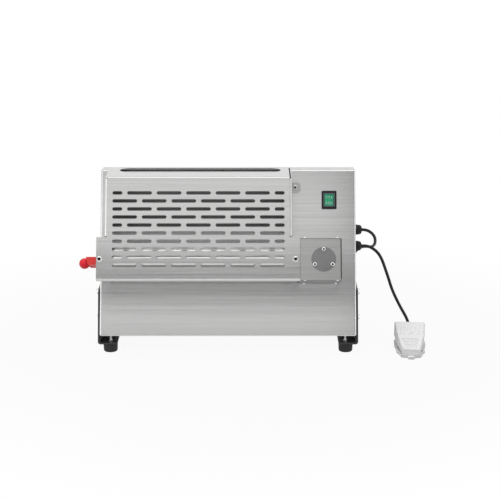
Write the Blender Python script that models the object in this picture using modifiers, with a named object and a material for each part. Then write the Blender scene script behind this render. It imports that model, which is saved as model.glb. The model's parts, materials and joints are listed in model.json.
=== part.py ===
"""Electric dough roller with a slotted guard, a gap lever and a foot pedal.

Design frame, in metres: X runs from the middle of the cabinet to the right, Y runs back
from the bottom edge of the leaning front panel, and Z runs up from the floor. PLACE moves
that frame so that the origin is under the middle of the whole machine with its pedal.
"""

import math

import bmesh
import bpy
from mathutils import Matrix, Vector

MM = 0.001
GAP = 0.3 * MM

# Cabinet
BODY_WIDTH = 583 * MM
BODY_DEPTH = 290 * MM
PANEL_LEAN = math.radians(21)
PANEL_LENGTH = 382.4 * MM
PANEL_BOTTOM = 40 * MM
ROOF_DEPTH = 32 * MM
SHEET = 1.5 * MM
BEND = 4 * MM
RETURN = 14 * MM
HALF_WIDTH = BODY_WIDTH / 2
PANEL_TOP_Y = PANEL_LENGTH * math.sin(PANEL_LEAN)
ROOF_Z = PANEL_BOTTOM + PANEL_LENGTH * math.cos(PANEL_LEAN)

# Roller bay, measured from the panel: offset is the distance out of the panel's face
# and slope the distance up it
GUARD_OFFSET = 104 * MM
GUARD_SHEET = 1.5 * MM
EAR_LEFT, EAR_RIGHT = -290.4 * MM, 161.2 * MM
EAR_BOTTOM, EAR_TOP = 116.5 * MM, 214 * MM
CHEEK_LEFT, CHEEK_RIGHT = -272.8 * MM, 143.2 * MM
GUARD_TOP_Z = ROOF_Z + 5.9 * MM
GUARD_TOP_SLOPE = 346.8 * MM
LEFT_PLATE = (-285.7 * MM, -273 * MM)
RIGHT_PLATE = (143.8 * MM, 160.8 * MM)
ROLLER_RADIUS = 40 * MM
ROLLER_GAP = 0.6 * MM
ROLLER_TRAVEL = 3.4 * MM
JOURNAL_RADIUS = 12 * MM
FRONT_AXIS = (55 * MM, 168 * MM)
CENTRE_DISTANCE = 2 * ROLLER_RADIUS + ROLLER_GAP
REAR_AXIS = (FRONT_AXIS[0] - CENTRE_DISTANCE, FRONT_AXIS[1])
LEVER_AXIS = (FRONT_AXIS[0] + ROLLER_TRAVEL / 2, FRONT_AXIS[1])
LEVER_RANGE = math.radians(50)
CAM_THROW = 4 * MM
PLATE_FRONT = 101.8 * MM
BLOCK_HALF = (17 * MM, 15 * MM)
KNOB_PLACE = (86 * MM, 157 * MM)
KNOB_RADIUS = 12 * MM
ARM_OUTER, ARM_INNER = -289.4 * MM, -286.0 * MM

# Gear case and drive
CASE_LEFT, CASE_RIGHT = 161.6 * MM, 253.2 * MM
CASE_BOTTOM, CASE_TOP = 119.4 * MM, 213.2 * MM
GEAR_TEETH = 20
OUTPUT_AXIS = (150 * MM, 112 * MM)
ROLLER_PULLEY_RADIUS, OUTPUT_PULLEY_RADIUS = 30 * MM, 20 * MM

# Switch: its middle across and up the panel
SWITCH_CENTRE = (230.9 * MM, 312.25 * MM)
ROCKER_TILT = math.radians(8)

# Side fittings
BRACKET_INNER, BRACKET_OUTER = HALF_WIDTH + GAP, HALF_WIDTH + 4.3 * MM
FOOT_RADIUS, FOOT_HEIGHT = 16 * MM, 19.5 * MM
GLAND_Y = 150 * MM
MAINS_GLAND_Z, PEDAL_GLAND_Z = 252.6 * MM, 213.7 * MM
GLAND_END = 309.8 * MM

# Foot pedal, in its own frame: origin on the floor under its middle
PEDAL_PLACE = (416.5 * MM, 27 * MM)
PEDAL_TURN = math.radians(-3.4)
PEDAL_PIN = (-44 * MM, 11 * MM)

# Cords
CORD_RADIUS = 3.5 * MM
CORD_STEP = 7.5 * MM
MAINS_LENGTH = 1800 * MM
COIL_CENTRE = (150 * MM, 355 * MM)
COIL_OUTER, COIL_STEP, COIL_LOW = 46 * MM, 7.6 * MM, 5.0 * MM
COIL_POINTS_PER_TURN = 24
COIL_TAIL = 18 * MM

# Middle of the machine and its pedal, seen from above
MIDDLE = (62.8 * MM, 116.75 * MM)

PLACE = Matrix.Translation((-MIDDLE[0], -MIDDLE[1], 0))
# Local x, y, z of each frame: across, up the panel and out of it; back, up and across;
# into the panel, up it and across. The pedal's pin runs along the local z of AT_PIN
UPRIGHT = Matrix.Rotation(math.pi / 2 - PANEL_LEAN, 4, "X")
PANEL = PLACE @ Matrix.Translation((0, 0, PANEL_BOTTOM)) @ UPRIGHT
SIDE = PLACE @ Matrix.Rotation(math.pi / 2, 4, "Z") @ Matrix.Rotation(math.pi / 2, 4, "X")
BAY = PANEL @ Matrix.Rotation(math.pi / 2, 4, "Y")
PEDAL = PLACE @ Matrix.Translation((*PEDAL_PLACE, 0)) @ Matrix.Rotation(PEDAL_TURN, 4, "Z")
AT_PIN = PEDAL @ Matrix.Translation((0, *PEDAL_PIN)) @ Matrix.Rotation(math.pi / 2, 4, "Y")

STEEL = ("brushed steel", (0.62, 0.62, 0.61, 1), 0.34, 1.0)
GREY_PAINT = ("grey paint", (0.33, 0.33, 0.33, 1), 0.5, 0.6)
ALUMINIUM = ("aluminium", (0.6, 0.6, 0.61, 1), 0.4, 1.0)
BLACK_STEEL = ("black steel", (0.03, 0.03, 0.032, 1), 0.5, 0.2)
BLACK_PLASTIC = ("black plastic", (0.02, 0.02, 0.022, 1), 0.45, 0.0)
RUBBER = ("rubber", (0.02, 0.02, 0.02, 1), 0.8, 0.0)
RED_PAINT = ("red paint", (0.62, 0.05, 0.05, 1), 0.4, 0.0)
RED_PLASTIC = ("red plastic", (0.65, 0.02, 0.04, 1), 0.25, 0.0)
GREEN_LENS = ("green lens", (0.0, 0.35, 0.16, 1), 0.2, 0.0)
WHITE_PLASTIC = ("white plastic", (0.75, 0.75, 0.75, 1), 0.45, 0.0)
ROLLER_FINISH = ("roller finish", (0.8, 0.8, 0.79, 1), 0.2, 0.3)


# Shapes
def collection(name):
    made = bpy.data.collections.new(name)
    bpy.context.scene.collection.children.link(made)
    return made


def material(finish):
    name, colour, roughness, metallic = finish
    made = bpy.data.materials.get(name)
    if made is None:
        made = bpy.data.materials.new(name)
        made.use_nodes = True
        shader = made.node_tree.nodes["Principled BSDF"]
        shader.inputs["Base Color"].default_value = colour
        shader.inputs["Roughness"].default_value = roughness
        shader.inputs["Metallic"].default_value = metallic
    return made


def add(name, data, frame, finish):
    """Links a part, or a cutter when it has no finish."""
    made = bpy.data.objects.new(name, data)
    made.matrix_world = frame
    if finish is None:
        CUTTERS.objects.link(made)
        made.hide_render = True
        made.display_type = "WIRE"
    else:
        PARTS.objects.link(made)
        made.data.materials.append(material(finish))
    return made


def tidy_mesh(mesh):
    """Welds the caps, turns the faces outwards and shades the round stretches smooth."""
    shape = bmesh.new()
    shape.from_mesh(mesh)
    bmesh.ops.remove_doubles(shape, verts=shape.verts, dist=1e-6)
    bmesh.ops.recalc_face_normals(shape, faces=shape.faces)
    shape.to_mesh(mesh)
    shape.free()
    mesh.shade_smooth()
    mesh.set_sharp_from_angle(angle=math.radians(35))
    return mesh


def mesh_of(helper):
    """The evaluated mesh of a helper object, which is then removed."""
    bpy.context.scene.collection.objects.link(helper)
    graph = bpy.context.evaluated_depsgraph_get()
    mesh = bpy.data.meshes.new_from_object(helper.evaluated_get(graph))
    bpy.data.objects.remove(helper)
    return tidy_mesh(mesh)


def extrusion(name, outlines, low, high, frame, finish):
    """A flat outline, with any further outlines as holes, from local z low to high."""
    curve = bpy.data.curves.new(name, "CURVE")
    curve.dimensions = "2D"
    curve.fill_mode = "BOTH"
    curve.extrude = (high - low) / 2
    for outline in outlines:
        spline = curve.splines.new("POLY")
        spline.points.add(len(outline) - 1)
        for point, (x, y) in zip(spline.points, outline):
            point.co = (x, y, 0, 1)
        spline.use_cyclic_u = True
    mesh = mesh_of(bpy.data.objects.new(name, curve))
    mesh.transform(Matrix.Translation((0, 0, (low + high) / 2)))
    return add(name, mesh, frame, finish)


def block(name, low, high, frame, finish):
    """A box between two local corners."""
    shape = bmesh.new()
    bmesh.ops.create_cube(shape, size=1)
    size = Vector(high) - Vector(low)
    middle = (Vector(high) + Vector(low)) / 2
    sized = Matrix.Translation(middle) @ Matrix.Diagonal((*size, 1))
    bmesh.ops.transform(shape, matrix=sized, verts=shape.verts)
    mesh = bpy.data.meshes.new(name)
    shape.to_mesh(mesh)
    shape.free()
    return add(name, mesh, frame, finish)


def turned(name, profile, frame, finish, steps=32):
    """A profile of (radius, height) points spun about the frame's local z."""
    mesh = bpy.data.meshes.new(name)
    points = [(radius, 0, height) for radius, height in profile]
    mesh.from_pydata(points, [(i, i + 1) for i in range(len(points) - 1)], [])
    helper = bpy.data.objects.new(name, mesh)
    screw = helper.modifiers.new("Turn", "SCREW")
    screw.steps = screw.render_steps = steps
    screw.use_merge_vertices = True
    screw.merge_threshold = 1e-5
    return add(name, mesh_of(helper), frame, finish)


def folded(name, corners, open_side, frame, finish):
    """A sheet tray: a six-sided form of eight corners without one side, bent at its edges.

    corners gives the local place of each cube corner, keyed by its signs, and open_side
    is the outward direction of the side left off.
    """
    shape = bmesh.new()
    bmesh.ops.create_cube(shape, size=2)
    shape.faces.ensure_lookup_table()
    missing = max(shape.faces, key=lambda face: face.normal.dot(Vector(open_side)))
    for vertex in shape.verts:
        vertex.co = corners[tuple(round(value) for value in vertex.co)]
    bmesh.ops.delete(shape, geom=[missing], context="FACES_ONLY")
    mesh = bpy.data.meshes.new(name)
    shape.to_mesh(mesh)
    shape.free()
    made = add(name, mesh, frame, finish)
    as_sheet(made, SHEET, BEND)
    return made


def bent_form(name, corners, is_bend, radius, frame, finish):
    """A solid of eight corners, keyed by the signs of a cube's corners, with some edges rounded.

    is_bend tells from the cube's corners at an edge's two ends whether that edge is rounded.
    """
    shape = bmesh.new()
    bmesh.ops.create_cube(shape, size=2)
    bends = [edge for edge in shape.edges if is_bend(*(vertex.co for vertex in edge.verts))]
    for vertex in shape.verts:
        vertex.co = corners[tuple(round(value) for value in vertex.co)]
    bmesh.ops.bevel(shape, geom=bends, offset=radius, segments=3, profile=0.5, affect="EDGES")
    mesh = bpy.data.meshes.new(name)
    shape.to_mesh(mesh)
    shape.free()
    return add(name, mesh, frame, finish)


def as_sheet(made, thickness, bend):
    """Rounds the folds of an open skin and thickens it inwards."""
    rounding = made.modifiers.new("Bends", "BEVEL")
    rounding.width = bend
    rounding.segments = 3
    rounding.limit_method = "ANGLE"
    skin = made.modifiers.new("Sheet", "SOLIDIFY")
    skin.thickness = thickness
    skin.offset = -1
    skin.use_even_offset = True


def tube(name, points, radius, finish, resolution=2):
    curve = bpy.data.curves.new(name, "CURVE")
    curve.dimensions = "3D"
    curve.bevel_depth = radius
    curve.bevel_resolution = resolution
    curve.use_fill_caps = True
    spline = curve.splines.new("POLY")
    spline.points.add(len(points) - 1)
    for point, place in zip(spline.points, points):
        point.co = (*place, 1)
    return add(name, curve, Matrix.Identity(4), finish)


def boolean(target, other, operation):
    step = target.modifiers.new(other.name, "BOOLEAN")
    step.operation = operation
    step.solver = "EXACT"
    step.use_self = True
    step.object = other


def cut(target, *cutters):
    for cutter in cutters:
        boolean(target, cutter, "DIFFERENCE")


def fuse(target, *others):
    for other in others:
        boolean(target, other, "UNION")


# Outlines
def arc(centre, radius, start, end, steps):
    """Points on an arc, from one angle to the other, both included."""
    angles = [start + (end - start) * i / steps for i in range(steps + 1)]
    return [(centre[0] + radius * math.cos(a), centre[1] + radius * math.sin(a)) for a in angles]


def circle(centre, radius, sides=32):
    return arc(centre, radius, 0, 2 * math.pi * (1 - 1 / sides), sides - 1)


def rectangle(left, bottom, right, top):
    return [(left, bottom), (right, bottom), (right, top), (left, top)]


def around(centre, half_width, half_height):
    x, y = centre
    return rectangle(x - half_width, y - half_height, x + half_width, y + half_height)


def rounded(points, radius, steps=3):
    """An outline with each corner turned into an arc of that radius, or less on a short side."""
    made = []
    count = len(points)
    for i, corner in enumerate(points):
        here = Vector(corner)
        back = Vector(points[i - 1]) - here
        ahead = Vector(points[(i + 1) % count]) - here
        half = back.angle(ahead) / 2
        reach = min(radius / math.tan(half), 0.45 * back.length, 0.45 * ahead.length)
        first = here + back.normalized() * reach
        last = here + ahead.normalized() * reach
        for step in range(steps + 1):
            t = step / steps
            made.append(tuple((1 - t) ** 2 * first + 2 * t * (1 - t) * here + t * t * last))
    return made


def slot(centre, length, height, steps=4):
    """A straight slot with round ends."""
    reach = (length - height) / 2
    right = arc((centre[0] + reach, centre[1]), height / 2, -math.pi / 2, math.pi / 2, steps)
    left = arc((centre[0] - reach, centre[1]), height / 2, math.pi / 2, 3 * math.pi / 2, steps)
    return right + left


def gear_outline(teeth, pitch_radius, phase):
    root, tip = pitch_radius - 2.7 * MM, pitch_radius + 2.0 * MM
    root_half, tip_half = 2.8 * MM / root, 1.3 * MM / tip
    made = []
    for tooth in range(teeth):
        middle = phase + 2 * math.pi * tooth / teeth
        for radius, turn in ((root, -root_half), (tip, -tip_half), (tip, tip_half), (root, root_half)):
            made.append((radius * math.cos(middle + turn), radius * math.sin(middle + turn)))
    return made


def belt_outline(first, first_radius, second, second_radius):
    """The outline of a band stretched round two circles."""
    step = Vector(second) - Vector(first)
    heading = math.atan2(step.y, step.x)
    lead = math.acos((first_radius - second_radius) / step.length)
    far = arc(second, second_radius, heading - lead, heading + lead, 14)
    near = arc(first, first_radius, heading + lead, heading - lead + 2 * math.pi, 18)
    return far + near


def bay(points):
    """Bay outlines are given as (offset, slope); the bay frame counts depth inwards."""
    return [(-offset, slope) for offset, slope in points]


def side_point(offset, slope):
    """The (y, z) of a place given by its offset from the panel and its slope position."""
    y = slope * math.sin(PANEL_LEAN) - offset * math.cos(PANEL_LEAN)
    z = PANEL_BOTTOM + slope * math.cos(PANEL_LEAN) + offset * math.sin(PANEL_LEAN)
    return y, z


def world_point(x, y, z):
    return PLACE @ Vector((x, y, z))


# Cabinet
def front_panel():
    corners = {}
    for side in (-1, 1):
        x = side * HALF_WIDTH
        corners[side, -1, -1] = (x, 0, PANEL_BOTTOM)
        corners[side, -1, 1] = (x, PANEL_TOP_Y, ROOF_Z)
        corners[side, 1, 1] = (x, PANEL_TOP_Y + ROOF_DEPTH, ROOF_Z)
        corners[side, 1, -1] = (x, RETURN, PANEL_BOTTOM)
    panel = folded("front_panel", corners, (0, 1, 0), PLACE, STEEL)
    depth = 12 * MM
    windows = {
        "roller_window": rectangle(-271 * MM, 131 * MM, 141 * MM, 202 * MM),
        "left_bearing_window": rectangle(-284.5 * MM, 143.5 * MM, -268 * MM, 192.5 * MM),
        "right_bearing_window": rectangle(138 * MM, 143.5 * MM, 154.5 * MM, 192.5 * MM),
        "gear_window": rectangle(165 * MM, 124 * MM, 249 * MM, 207 * MM),
        "switch_window": around(SWITCH_CENTRE, 13.9 * MM, 16.4 * MM),
    }
    for name, outline in windows.items():
        cut(panel, extrusion(name, [outline], -depth, depth, PANEL, None))


def rear_cover():
    """The leaning back with bent sides and a bent foot: a solid form, hollowed from the front."""
    foot = Vector((BODY_DEPTH, PANEL_BOTTOM))
    roof = Vector((PANEL_TOP_Y + ROOF_DEPTH + GAP, ROOF_Z - 2 * MM))
    up = (roof - foot).normalized()
    inwards = Vector((-up.y, up.x))
    top = roof - 2 * MM * up
    edge = 2.2 * MM
    low = foot + SHEET * (inwards + up * (1 - up.x) / up.y)
    high = low + up * BODY_DEPTH * 2
    outer, inner = {}, {}
    for side in (-1, 1):
        x = side * HALF_WIDTH
        outer[side, 1, -1] = (x, *foot)
        outer[side, 1, 1] = (x, *top)
        outer[side, -1, 1] = (x, *(top + edge * inwards))
        outer[side, -1, -1] = (x, BODY_DEPTH - RETURN, PANEL_BOTTOM)
        x = side * (HALF_WIDTH - SHEET)
        inner[side, 1, -1] = (x, *low)
        inner[side, 1, 1] = (x, *high)
        inner[side, -1, 1] = (x, high.x - BODY_DEPTH, high.y)
        inner[side, -1, -1] = (x, 0, low.y)

    def is_bend(here, there):
        return here.y > 0 and there.y > 0 and min(here.z, there.z) < 0

    cover = bent_form("rear_cover", outer, is_bend, BEND, PLACE, STEEL)
    cut(cover, bent_form("rear_hollow", inner, is_bend, BEND - SHEET, PLACE, None))


def side_panels():
    """Plates inside the returns of the front panel and the rear cover."""
    inset = 7.5 * MM
    low = PANEL_BOTTOM + inset
    high = ROOF_Z - 18.5 * MM
    lean = math.tan(PANEL_LEAN)
    rear_lean = (BODY_DEPTH - PANEL_TOP_Y - ROOF_DEPTH) / (ROOF_Z - PANEL_BOTTOM)

    def front(z):
        return (z - PANEL_BOTTOM) * lean + inset

    def rear(z):
        return BODY_DEPTH - (z - PANEL_BOTTOM) * rear_lean - inset

    outline = [(front(low), low), (rear(low), low), (rear(high), high), (front(high), high)]
    outer = HALF_WIDTH - SHEET - GAP
    gland_holes = [circle((GLAND_Y, z), 8.3 * MM, 20) for z in (MAINS_GLAND_Z, PEDAL_GLAND_Z)]
    extrusion("left_side_panel", [outline], -outer, SHEET - outer, SIDE, STEEL)
    extrusion("right_side_panel", [outline] + gland_holes, outer - SHEET, outer, SIDE, STEEL)


def base_plate():
    bottom = PANEL_BOTTOM + SHEET + GAP
    reach = HALF_WIDTH - 2 * SHEET - 2 * GAP
    inset = 5 * MM
    corners = (-reach, inset, bottom), (reach, BODY_DEPTH - inset, bottom + SHEET)
    block("base_plate", *corners, PLACE, STEEL)


def feet():
    """The two side brackets with an inward flange, their bolts and the rubber feet."""
    top, flange = 139 * MM, 4 * MM
    lean = math.tan(PANEL_LEAN)
    front, rear = 3 * MM, BODY_DEPTH - 3 * MM
    low = FOOT_HEIGHT + GAP
    top_front = front + (top - PANEL_BOTTOM) * lean
    plate = [(front, low + GAP), (rear, low + GAP), (rear - 34 * MM, top), (top_front, top)]
    tread = FOOT_RADIUS - 2.5 * MM
    foot = [(0, FOOT_HEIGHT), (FOOT_RADIUS, FOOT_HEIGHT), (tread + MM, MM), (tread, 0), (0, 0)]
    for side, word in ((-1, "left"), (1, "right")):
        inner, outer = sorted((side * BRACKET_INNER, side * BRACKET_OUTER))
        bracket = extrusion(f"{word}_foot_bracket", [plate], inner, outer, SIDE, BLACK_STEEL)
        left, right = sorted((side * 251 * MM, side * (BRACKET_OUTER - GAP)))
        corners = (left, front + GAP, low), (right, rear - GAP, low + flange)
        fuse(bracket, block(f"{word}_bracket_flange", *corners, PLACE, None))
        for height, z in (("upper", 126 * MM), ("lower", 65 * MM)):
            bolt = [(0, 5.5 * MM), (4 * MM, 5.0 * MM), (6.5 * MM, 3.4 * MM), (7.5 * MM, 0), (0, 0)]
            seat = Matrix.Translation((70 * MM, z, side * (BRACKET_OUTER + GAP)))
            face = Matrix.Rotation(math.pi if side < 0 else 0, 4, "Y")
            turned(f"{word}_{height}_bracket_bolt", bolt, SIDE @ seat @ face, STEEL, 16)
        for place, y in (("front", 21 * MM), ("rear", 266 * MM)):
            centre = Matrix.Translation((side * 268 * MM, y, 0))
            turned(f"{place}_{word}_foot", foot, PLACE @ centre, RUBBER, 24)


# Guard
def slot_holes():
    """Ten rows of slots, every other row shifted by half a pitch and ended by short slots."""
    rows, first_slope, row_pitch = 10, 313 * MM, 18 * MM
    length, height, pitch = 54.8 * MM, 7.6 * MM, 65.5 * MM
    short, middle = 22 * MM, -64.3 * MM
    reach = 2.5 * pitch + length / 2
    holes = []
    for row in range(rows):
        slope = first_slope - row * row_pitch
        if row % 2:
            holes += [slot((middle + (i - 2.5) * pitch, slope), length, height) for i in range(6)]
        else:
            holes += [slot((middle + (i - 2) * pitch, slope), length, height) for i in range(5)]
            holes += [slot((middle + side * (reach - short / 2), slope), short, height) for side in (-1, 1)]
    return holes


def slotted_guard():
    """The front sheet with its slots and ears, the cheeks bent back from it and the lower lip."""
    low, high = GUARD_OFFSET - GUARD_SHEET, GUARD_OFFSET
    outline = [
        (EAR_LEFT, EAR_BOTTOM),
        (EAR_RIGHT, EAR_BOTTOM),
        (EAR_RIGHT, EAR_TOP),
        (CHEEK_RIGHT, EAR_TOP),
        (CHEEK_RIGHT, GUARD_TOP_SLOPE),
        (CHEEK_LEFT, GUARD_TOP_SLOPE),
        (CHEEK_LEFT, EAR_TOP),
        (EAR_LEFT, EAR_TOP),
    ]
    guard = extrusion("slotted_guard", [outline] + slot_holes(), low, high, PANEL, STEEL)
    inset = 0.2 * MM
    behind = high - 2 * inset
    lip_low = (-264 * MM, EAR_BOTTOM + inset, low - 12 * MM)
    lip_high = (150 * MM, EAR_BOTTOM + inset + GUARD_SHEET, behind)
    lip = block("guard_lip", lip_low, lip_high, PANEL, None)
    back, base = 0.8 * MM, EAR_TOP + 0.8 * MM
    top_front, top_rear = 346.4 * MM, 385.8 * MM
    cheek = bay([(behind, base), (behind, top_front), (back, top_rear), (back, base)])
    outer = CHEEK_LEFT + inset
    left = extrusion("left_guard_cheek", [cheek], outer, outer + GUARD_SHEET, BAY, None)
    outer = CHEEK_RIGHT - inset
    right = extrusion("right_guard_cheek", [cheek], outer - GUARD_SHEET, outer, BAY, None)
    tab_form = rectangle(CHEEK_RIGHT - GUARD_SHEET, 328.5 * MM, 165.5 * MM, 353 * MM)
    tab = extrusion("guard_tab", [rounded(tab_form, 5 * MM)], 0.6 * MM, 2.4 * MM, PANEL, None)
    fuse(guard, lip, left, right, tab)


def guard_top():
    """The level top sheet of the guard with the feed opening."""
    front, rear = 27.7 * MM, PANEL_TOP_Y + 3 * MM
    left, right = CHEEK_LEFT + 6 * MM, CHEEK_RIGHT - 5 * MM
    mouth = slot((-63 * MM, 104.5 * MM), 365 * MM, 45 * MM, 6)
    outlines = [rectangle(left, front, right, rear), mouth]
    extrusion("guard_top", outlines, GUARD_TOP_Z - GUARD_SHEET, GUARD_TOP_Z, PLACE, STEEL)


def guard_screws():
    head = [(0, 4.2 * MM), (3.2 * MM, 3.9 * MM), (6.0 * MM, 2.2 * MM), (6.8 * MM, 0), (0, 0)]
    for word, x in (("left", -283.3 * MM), ("right", 150.8 * MM)):
        seat = Matrix.Translation((x, 165 * MM, GUARD_OFFSET + GAP))
        turned(f"{word}_guard_screw", head, PANEL @ seat, STEEL, 16)


# Rollers and what carries them
def bearing_plate(word, ends, lobe_ends, index_holes):
    """A thick plate beside the rollers with a lobe that reaches through the panel."""
    low, high = 131 * MM, 212.5 * MM
    outline = bay([(PLATE_FRONT, low), (PLATE_FRONT, high), (2 * MM, high), (2 * MM, low)])
    plate = extrusion(f"{word}_bearing_plate", [outline] + index_holes, *ends, BAY, ALUMINIUM)
    lobe = rectangle(-14 * MM, REAR_AXIS[1] - 22 * MM, 50 * MM, REAR_AXIS[1] + 22 * MM)
    hole = circle(bay([REAR_AXIS])[0], 18 * MM)
    fuse(plate, extrusion(f"{word}_bearing_lobe", [lobe, hole], *lobe_ends, BAY, None))
    return plate


def block_pocket(word, low, high):
    """The pocket that a sliding block runs in."""
    travel = ROLLER_TRAVEL + 2 * GAP
    centre = bay([(FRONT_AXIS[0] + travel / 2, FRONT_AXIS[1])])[0]
    clearance = 0.4 * MM
    outline = around(centre, BLOCK_HALF[0] + clearance + travel / 2, BLOCK_HALF[1] + clearance)
    return extrusion(f"{word}_block_pocket", [outline], low, high, BAY, None)


def index_angle(step):
    """The bearing plate has five holes that the lever's pin can drop into."""
    rest = math.atan2(KNOB_PLACE[1] - LEVER_AXIS[1], KNOB_PLACE[0] - LEVER_AXIS[0])
    return rest - LEVER_RANGE * step / 4


def bearing_plates():
    arm = math.dist(KNOB_PLACE, LEVER_AXIS)
    places = [
        (LEVER_AXIS[0] + arm * math.cos(index_angle(i)), LEVER_AXIS[1] + arm * math.sin(index_angle(i)))
        for i in range(5)
    ]
    holes = [circle(place, 2.8 * MM, 12) for place in bay(places)]
    outer, inner = LEFT_PLATE
    plate = bearing_plate("left", LEFT_PLATE, (outer + 6 * MM, inner - GAP), holes)
    pivot_outline = circle(bay([LEVER_AXIS])[0], 9.3 * MM)
    pivot = extrusion("lever_pivot_hole", [pivot_outline], outer - MM, inner, BAY, None)
    cut(plate, block_pocket("left", outer + 5 * MM, inner + MM), pivot)
    inner, outer = RIGHT_PLATE
    plate = bearing_plate("right", RIGHT_PLATE, (inner + GAP, inner + 9.7 * MM), [])
    cut(plate, block_pocket("right", inner - MM, outer + MM))


def roller_profile(left, right):
    """A drum with a journal at each end, from the right end to the left."""
    drum_left, drum_right, edge = -270.8 * MM, 140.8 * MM, 1.5 * MM
    return [
        (0, right),
        (JOURNAL_RADIUS, right),
        (JOURNAL_RADIUS, drum_right),
        (ROLLER_RADIUS - edge, drum_right),
        (ROLLER_RADIUS, drum_right - edge),
        (ROLLER_RADIUS, drum_left + edge),
        (ROLLER_RADIUS - edge, drum_left),
        (JOURNAL_RADIUS, drum_left),
        (JOURNAL_RADIUS, left),
        (0, left),
    ]


def at_axis(axis):
    """The bay frame moved to a roller's or the lever's axis."""
    return BAY @ Matrix.Translation((-axis[0], axis[1], 0))


def rollers():
    turned("front_roller", roller_profile(-277 * MM, 206 * MM), at_axis(FRONT_AXIS), ROLLER_FINISH, 40)
    turned("rear_roller", roller_profile(-284 * MM, 236 * MM), at_axis(REAR_AXIS), ROLLER_FINISH, 40)
    pitch = CENTRE_DISTANCE / 2
    bore = circle((0, 0), JOURNAL_RADIUS + GAP)
    # Bay depth runs inwards, so the rear gear lies on the front gear's +x side
    for word, axis, phase in (("front", FRONT_AXIS, 0), ("rear", REAR_AXIS, math.pi / GEAR_TEETH)):
        teeth = gear_outline(GEAR_TEETH, pitch, phase)
        extrusion(f"{word}_roller_gear", [teeth, bore], 185 * MM, 200 * MM, at_axis(axis), STEEL)
    ring = [circle((0, 0), 17.7 * MM), circle((0, 0), JOURNAL_RADIUS + 0.2 * MM)]
    right_lobe = RIGHT_PLATE[0] + GAP
    extrusion("left_rear_bush", ring, -279.4 * MM, -273.6 * MM, at_axis(REAR_AXIS), GREY_PAINT)
    extrusion("right_rear_bush", ring, right_lobe + GAP, right_lobe + 9 * MM, at_axis(REAR_AXIS), GREY_PAINT)


def sliding_blocks():
    outline = [around((0, 0), *BLOCK_HALF), circle((0, 0), JOURNAL_RADIUS + 0.2 * MM)]
    frame = at_axis(FRONT_AXIS)
    extrusion("left_sliding_block", outline, -280.4 * MM, -273.3 * MM, frame, GREY_PAINT)
    extrusion("right_sliding_block", outline, RIGHT_PLATE[0] + GAP, RIGHT_PLATE[1] - GAP, frame, GREY_PAINT)


def scrapers():
    left, right = -272.6 * MM, 143.4 * MM
    front = rectangle(-35.3 * MM, 124.5 * MM, -33.5 * MM, 132 * MM)
    extrusion("front_scraper", [front], left, right, BAY, STEEL)
    rear = rectangle(2.1 * MM, 118 * MM, 4.3 * MM, 133.2 * MM)
    extrusion("rear_scraper", [rear], left, right, BAY, STEEL)


# Gap lever
def gap_lever():
    """A bent red lever on a cam: its cam end turns in the left sliding block."""
    frame = at_axis(LEVER_AXIS)
    tip = PLATE_FRONT - LEVER_AXIS[0]
    low, high = 149.3 * MM - LEVER_AXIS[1], 170.3 * MM - LEVER_AXIS[1]
    hub = 14 * MM
    corners = [(hub, -hub), (hub, hub), (-10 * MM, hub), (-tip, high), (-tip, low), (-10 * MM, low)]
    arm = rounded(corners, 5 * MM)
    pin_hole = circle((LEVER_AXIS[0] - KNOB_PLACE[0], KNOB_PLACE[1] - LEVER_AXIS[1]), 2.7 * MM, 12)
    lever = extrusion("gap_lever", [arm, pin_hole], ARM_OUTER, ARM_INNER, frame, RED_PAINT)
    round_bar = circle((0, 0), 9 * MM, 24)
    shaft = extrusion("lever_shaft", [round_bar], ARM_OUTER - 0.8 * MM, -278.6 * MM, frame, None)
    half_turn = LEVER_RANGE / 2
    throw = (CAM_THROW * math.sin(half_turn), CAM_THROW * math.cos(half_turn))
    cam = extrusion("lever_cam", [circle(throw, 7.6 * MM, 24)], -280.4 * MM, -277.4 * MM, frame, None)
    panel_frame = PANEL @ Matrix.Translation((0, LEVER_AXIS[1], LEVER_AXIS[0]))
    face_low, face_right = low + 2.8 * MM, ARM_INNER - 0.5 * MM
    face = [(face_right, face_low), (face_right, high), (-313.4 * MM, high), (-309 * MM, face_low)]
    front_flange = extrusion("lever_front_flange", [face], tip - 3 * MM, tip - 0.2 * MM, panel_frame, None)
    shelf = rectangle(-306 * MM, tip - 40 * MM, ARM_OUTER + MM, tip - 6 * MM)
    shelf_frame = panel_frame @ Matrix.Rotation(math.pi / 2, 4, "X")
    ends = -low - 2.8 * MM, -low - 0.2 * MM
    lower_flange = extrusion("lever_lower_flange", [shelf], *ends, shelf_frame, None)
    fuse(lever, shaft, cam, front_flange, lower_flange)


def index_knob():
    """A ball on a stem with the index pin, pulled straight out."""
    ball_x, stem = -317.5 * MM, 3.5 * MM
    neck = math.asin(stem / KNOB_RADIUS)
    steps = 10
    ball = []
    for i in range(steps + 1):
        turn = math.pi - (math.pi - neck) * i / steps
        ball.append((KNOB_RADIUS * math.sin(turn), ball_x + KNOB_RADIUS * math.cos(turn)))
    ball[0] = (0, ball_x - KNOB_RADIUS)
    stem_end = ARM_OUTER - 0.5 * MM
    pin = [(stem, stem_end), (2.3 * MM, stem_end), (2.3 * MM, ARM_INNER - GAP), (0, ARM_INNER - GAP)]
    turned("index_knob", ball + pin, at_axis(KNOB_PLACE), RED_PLASTIC, 24)


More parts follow.
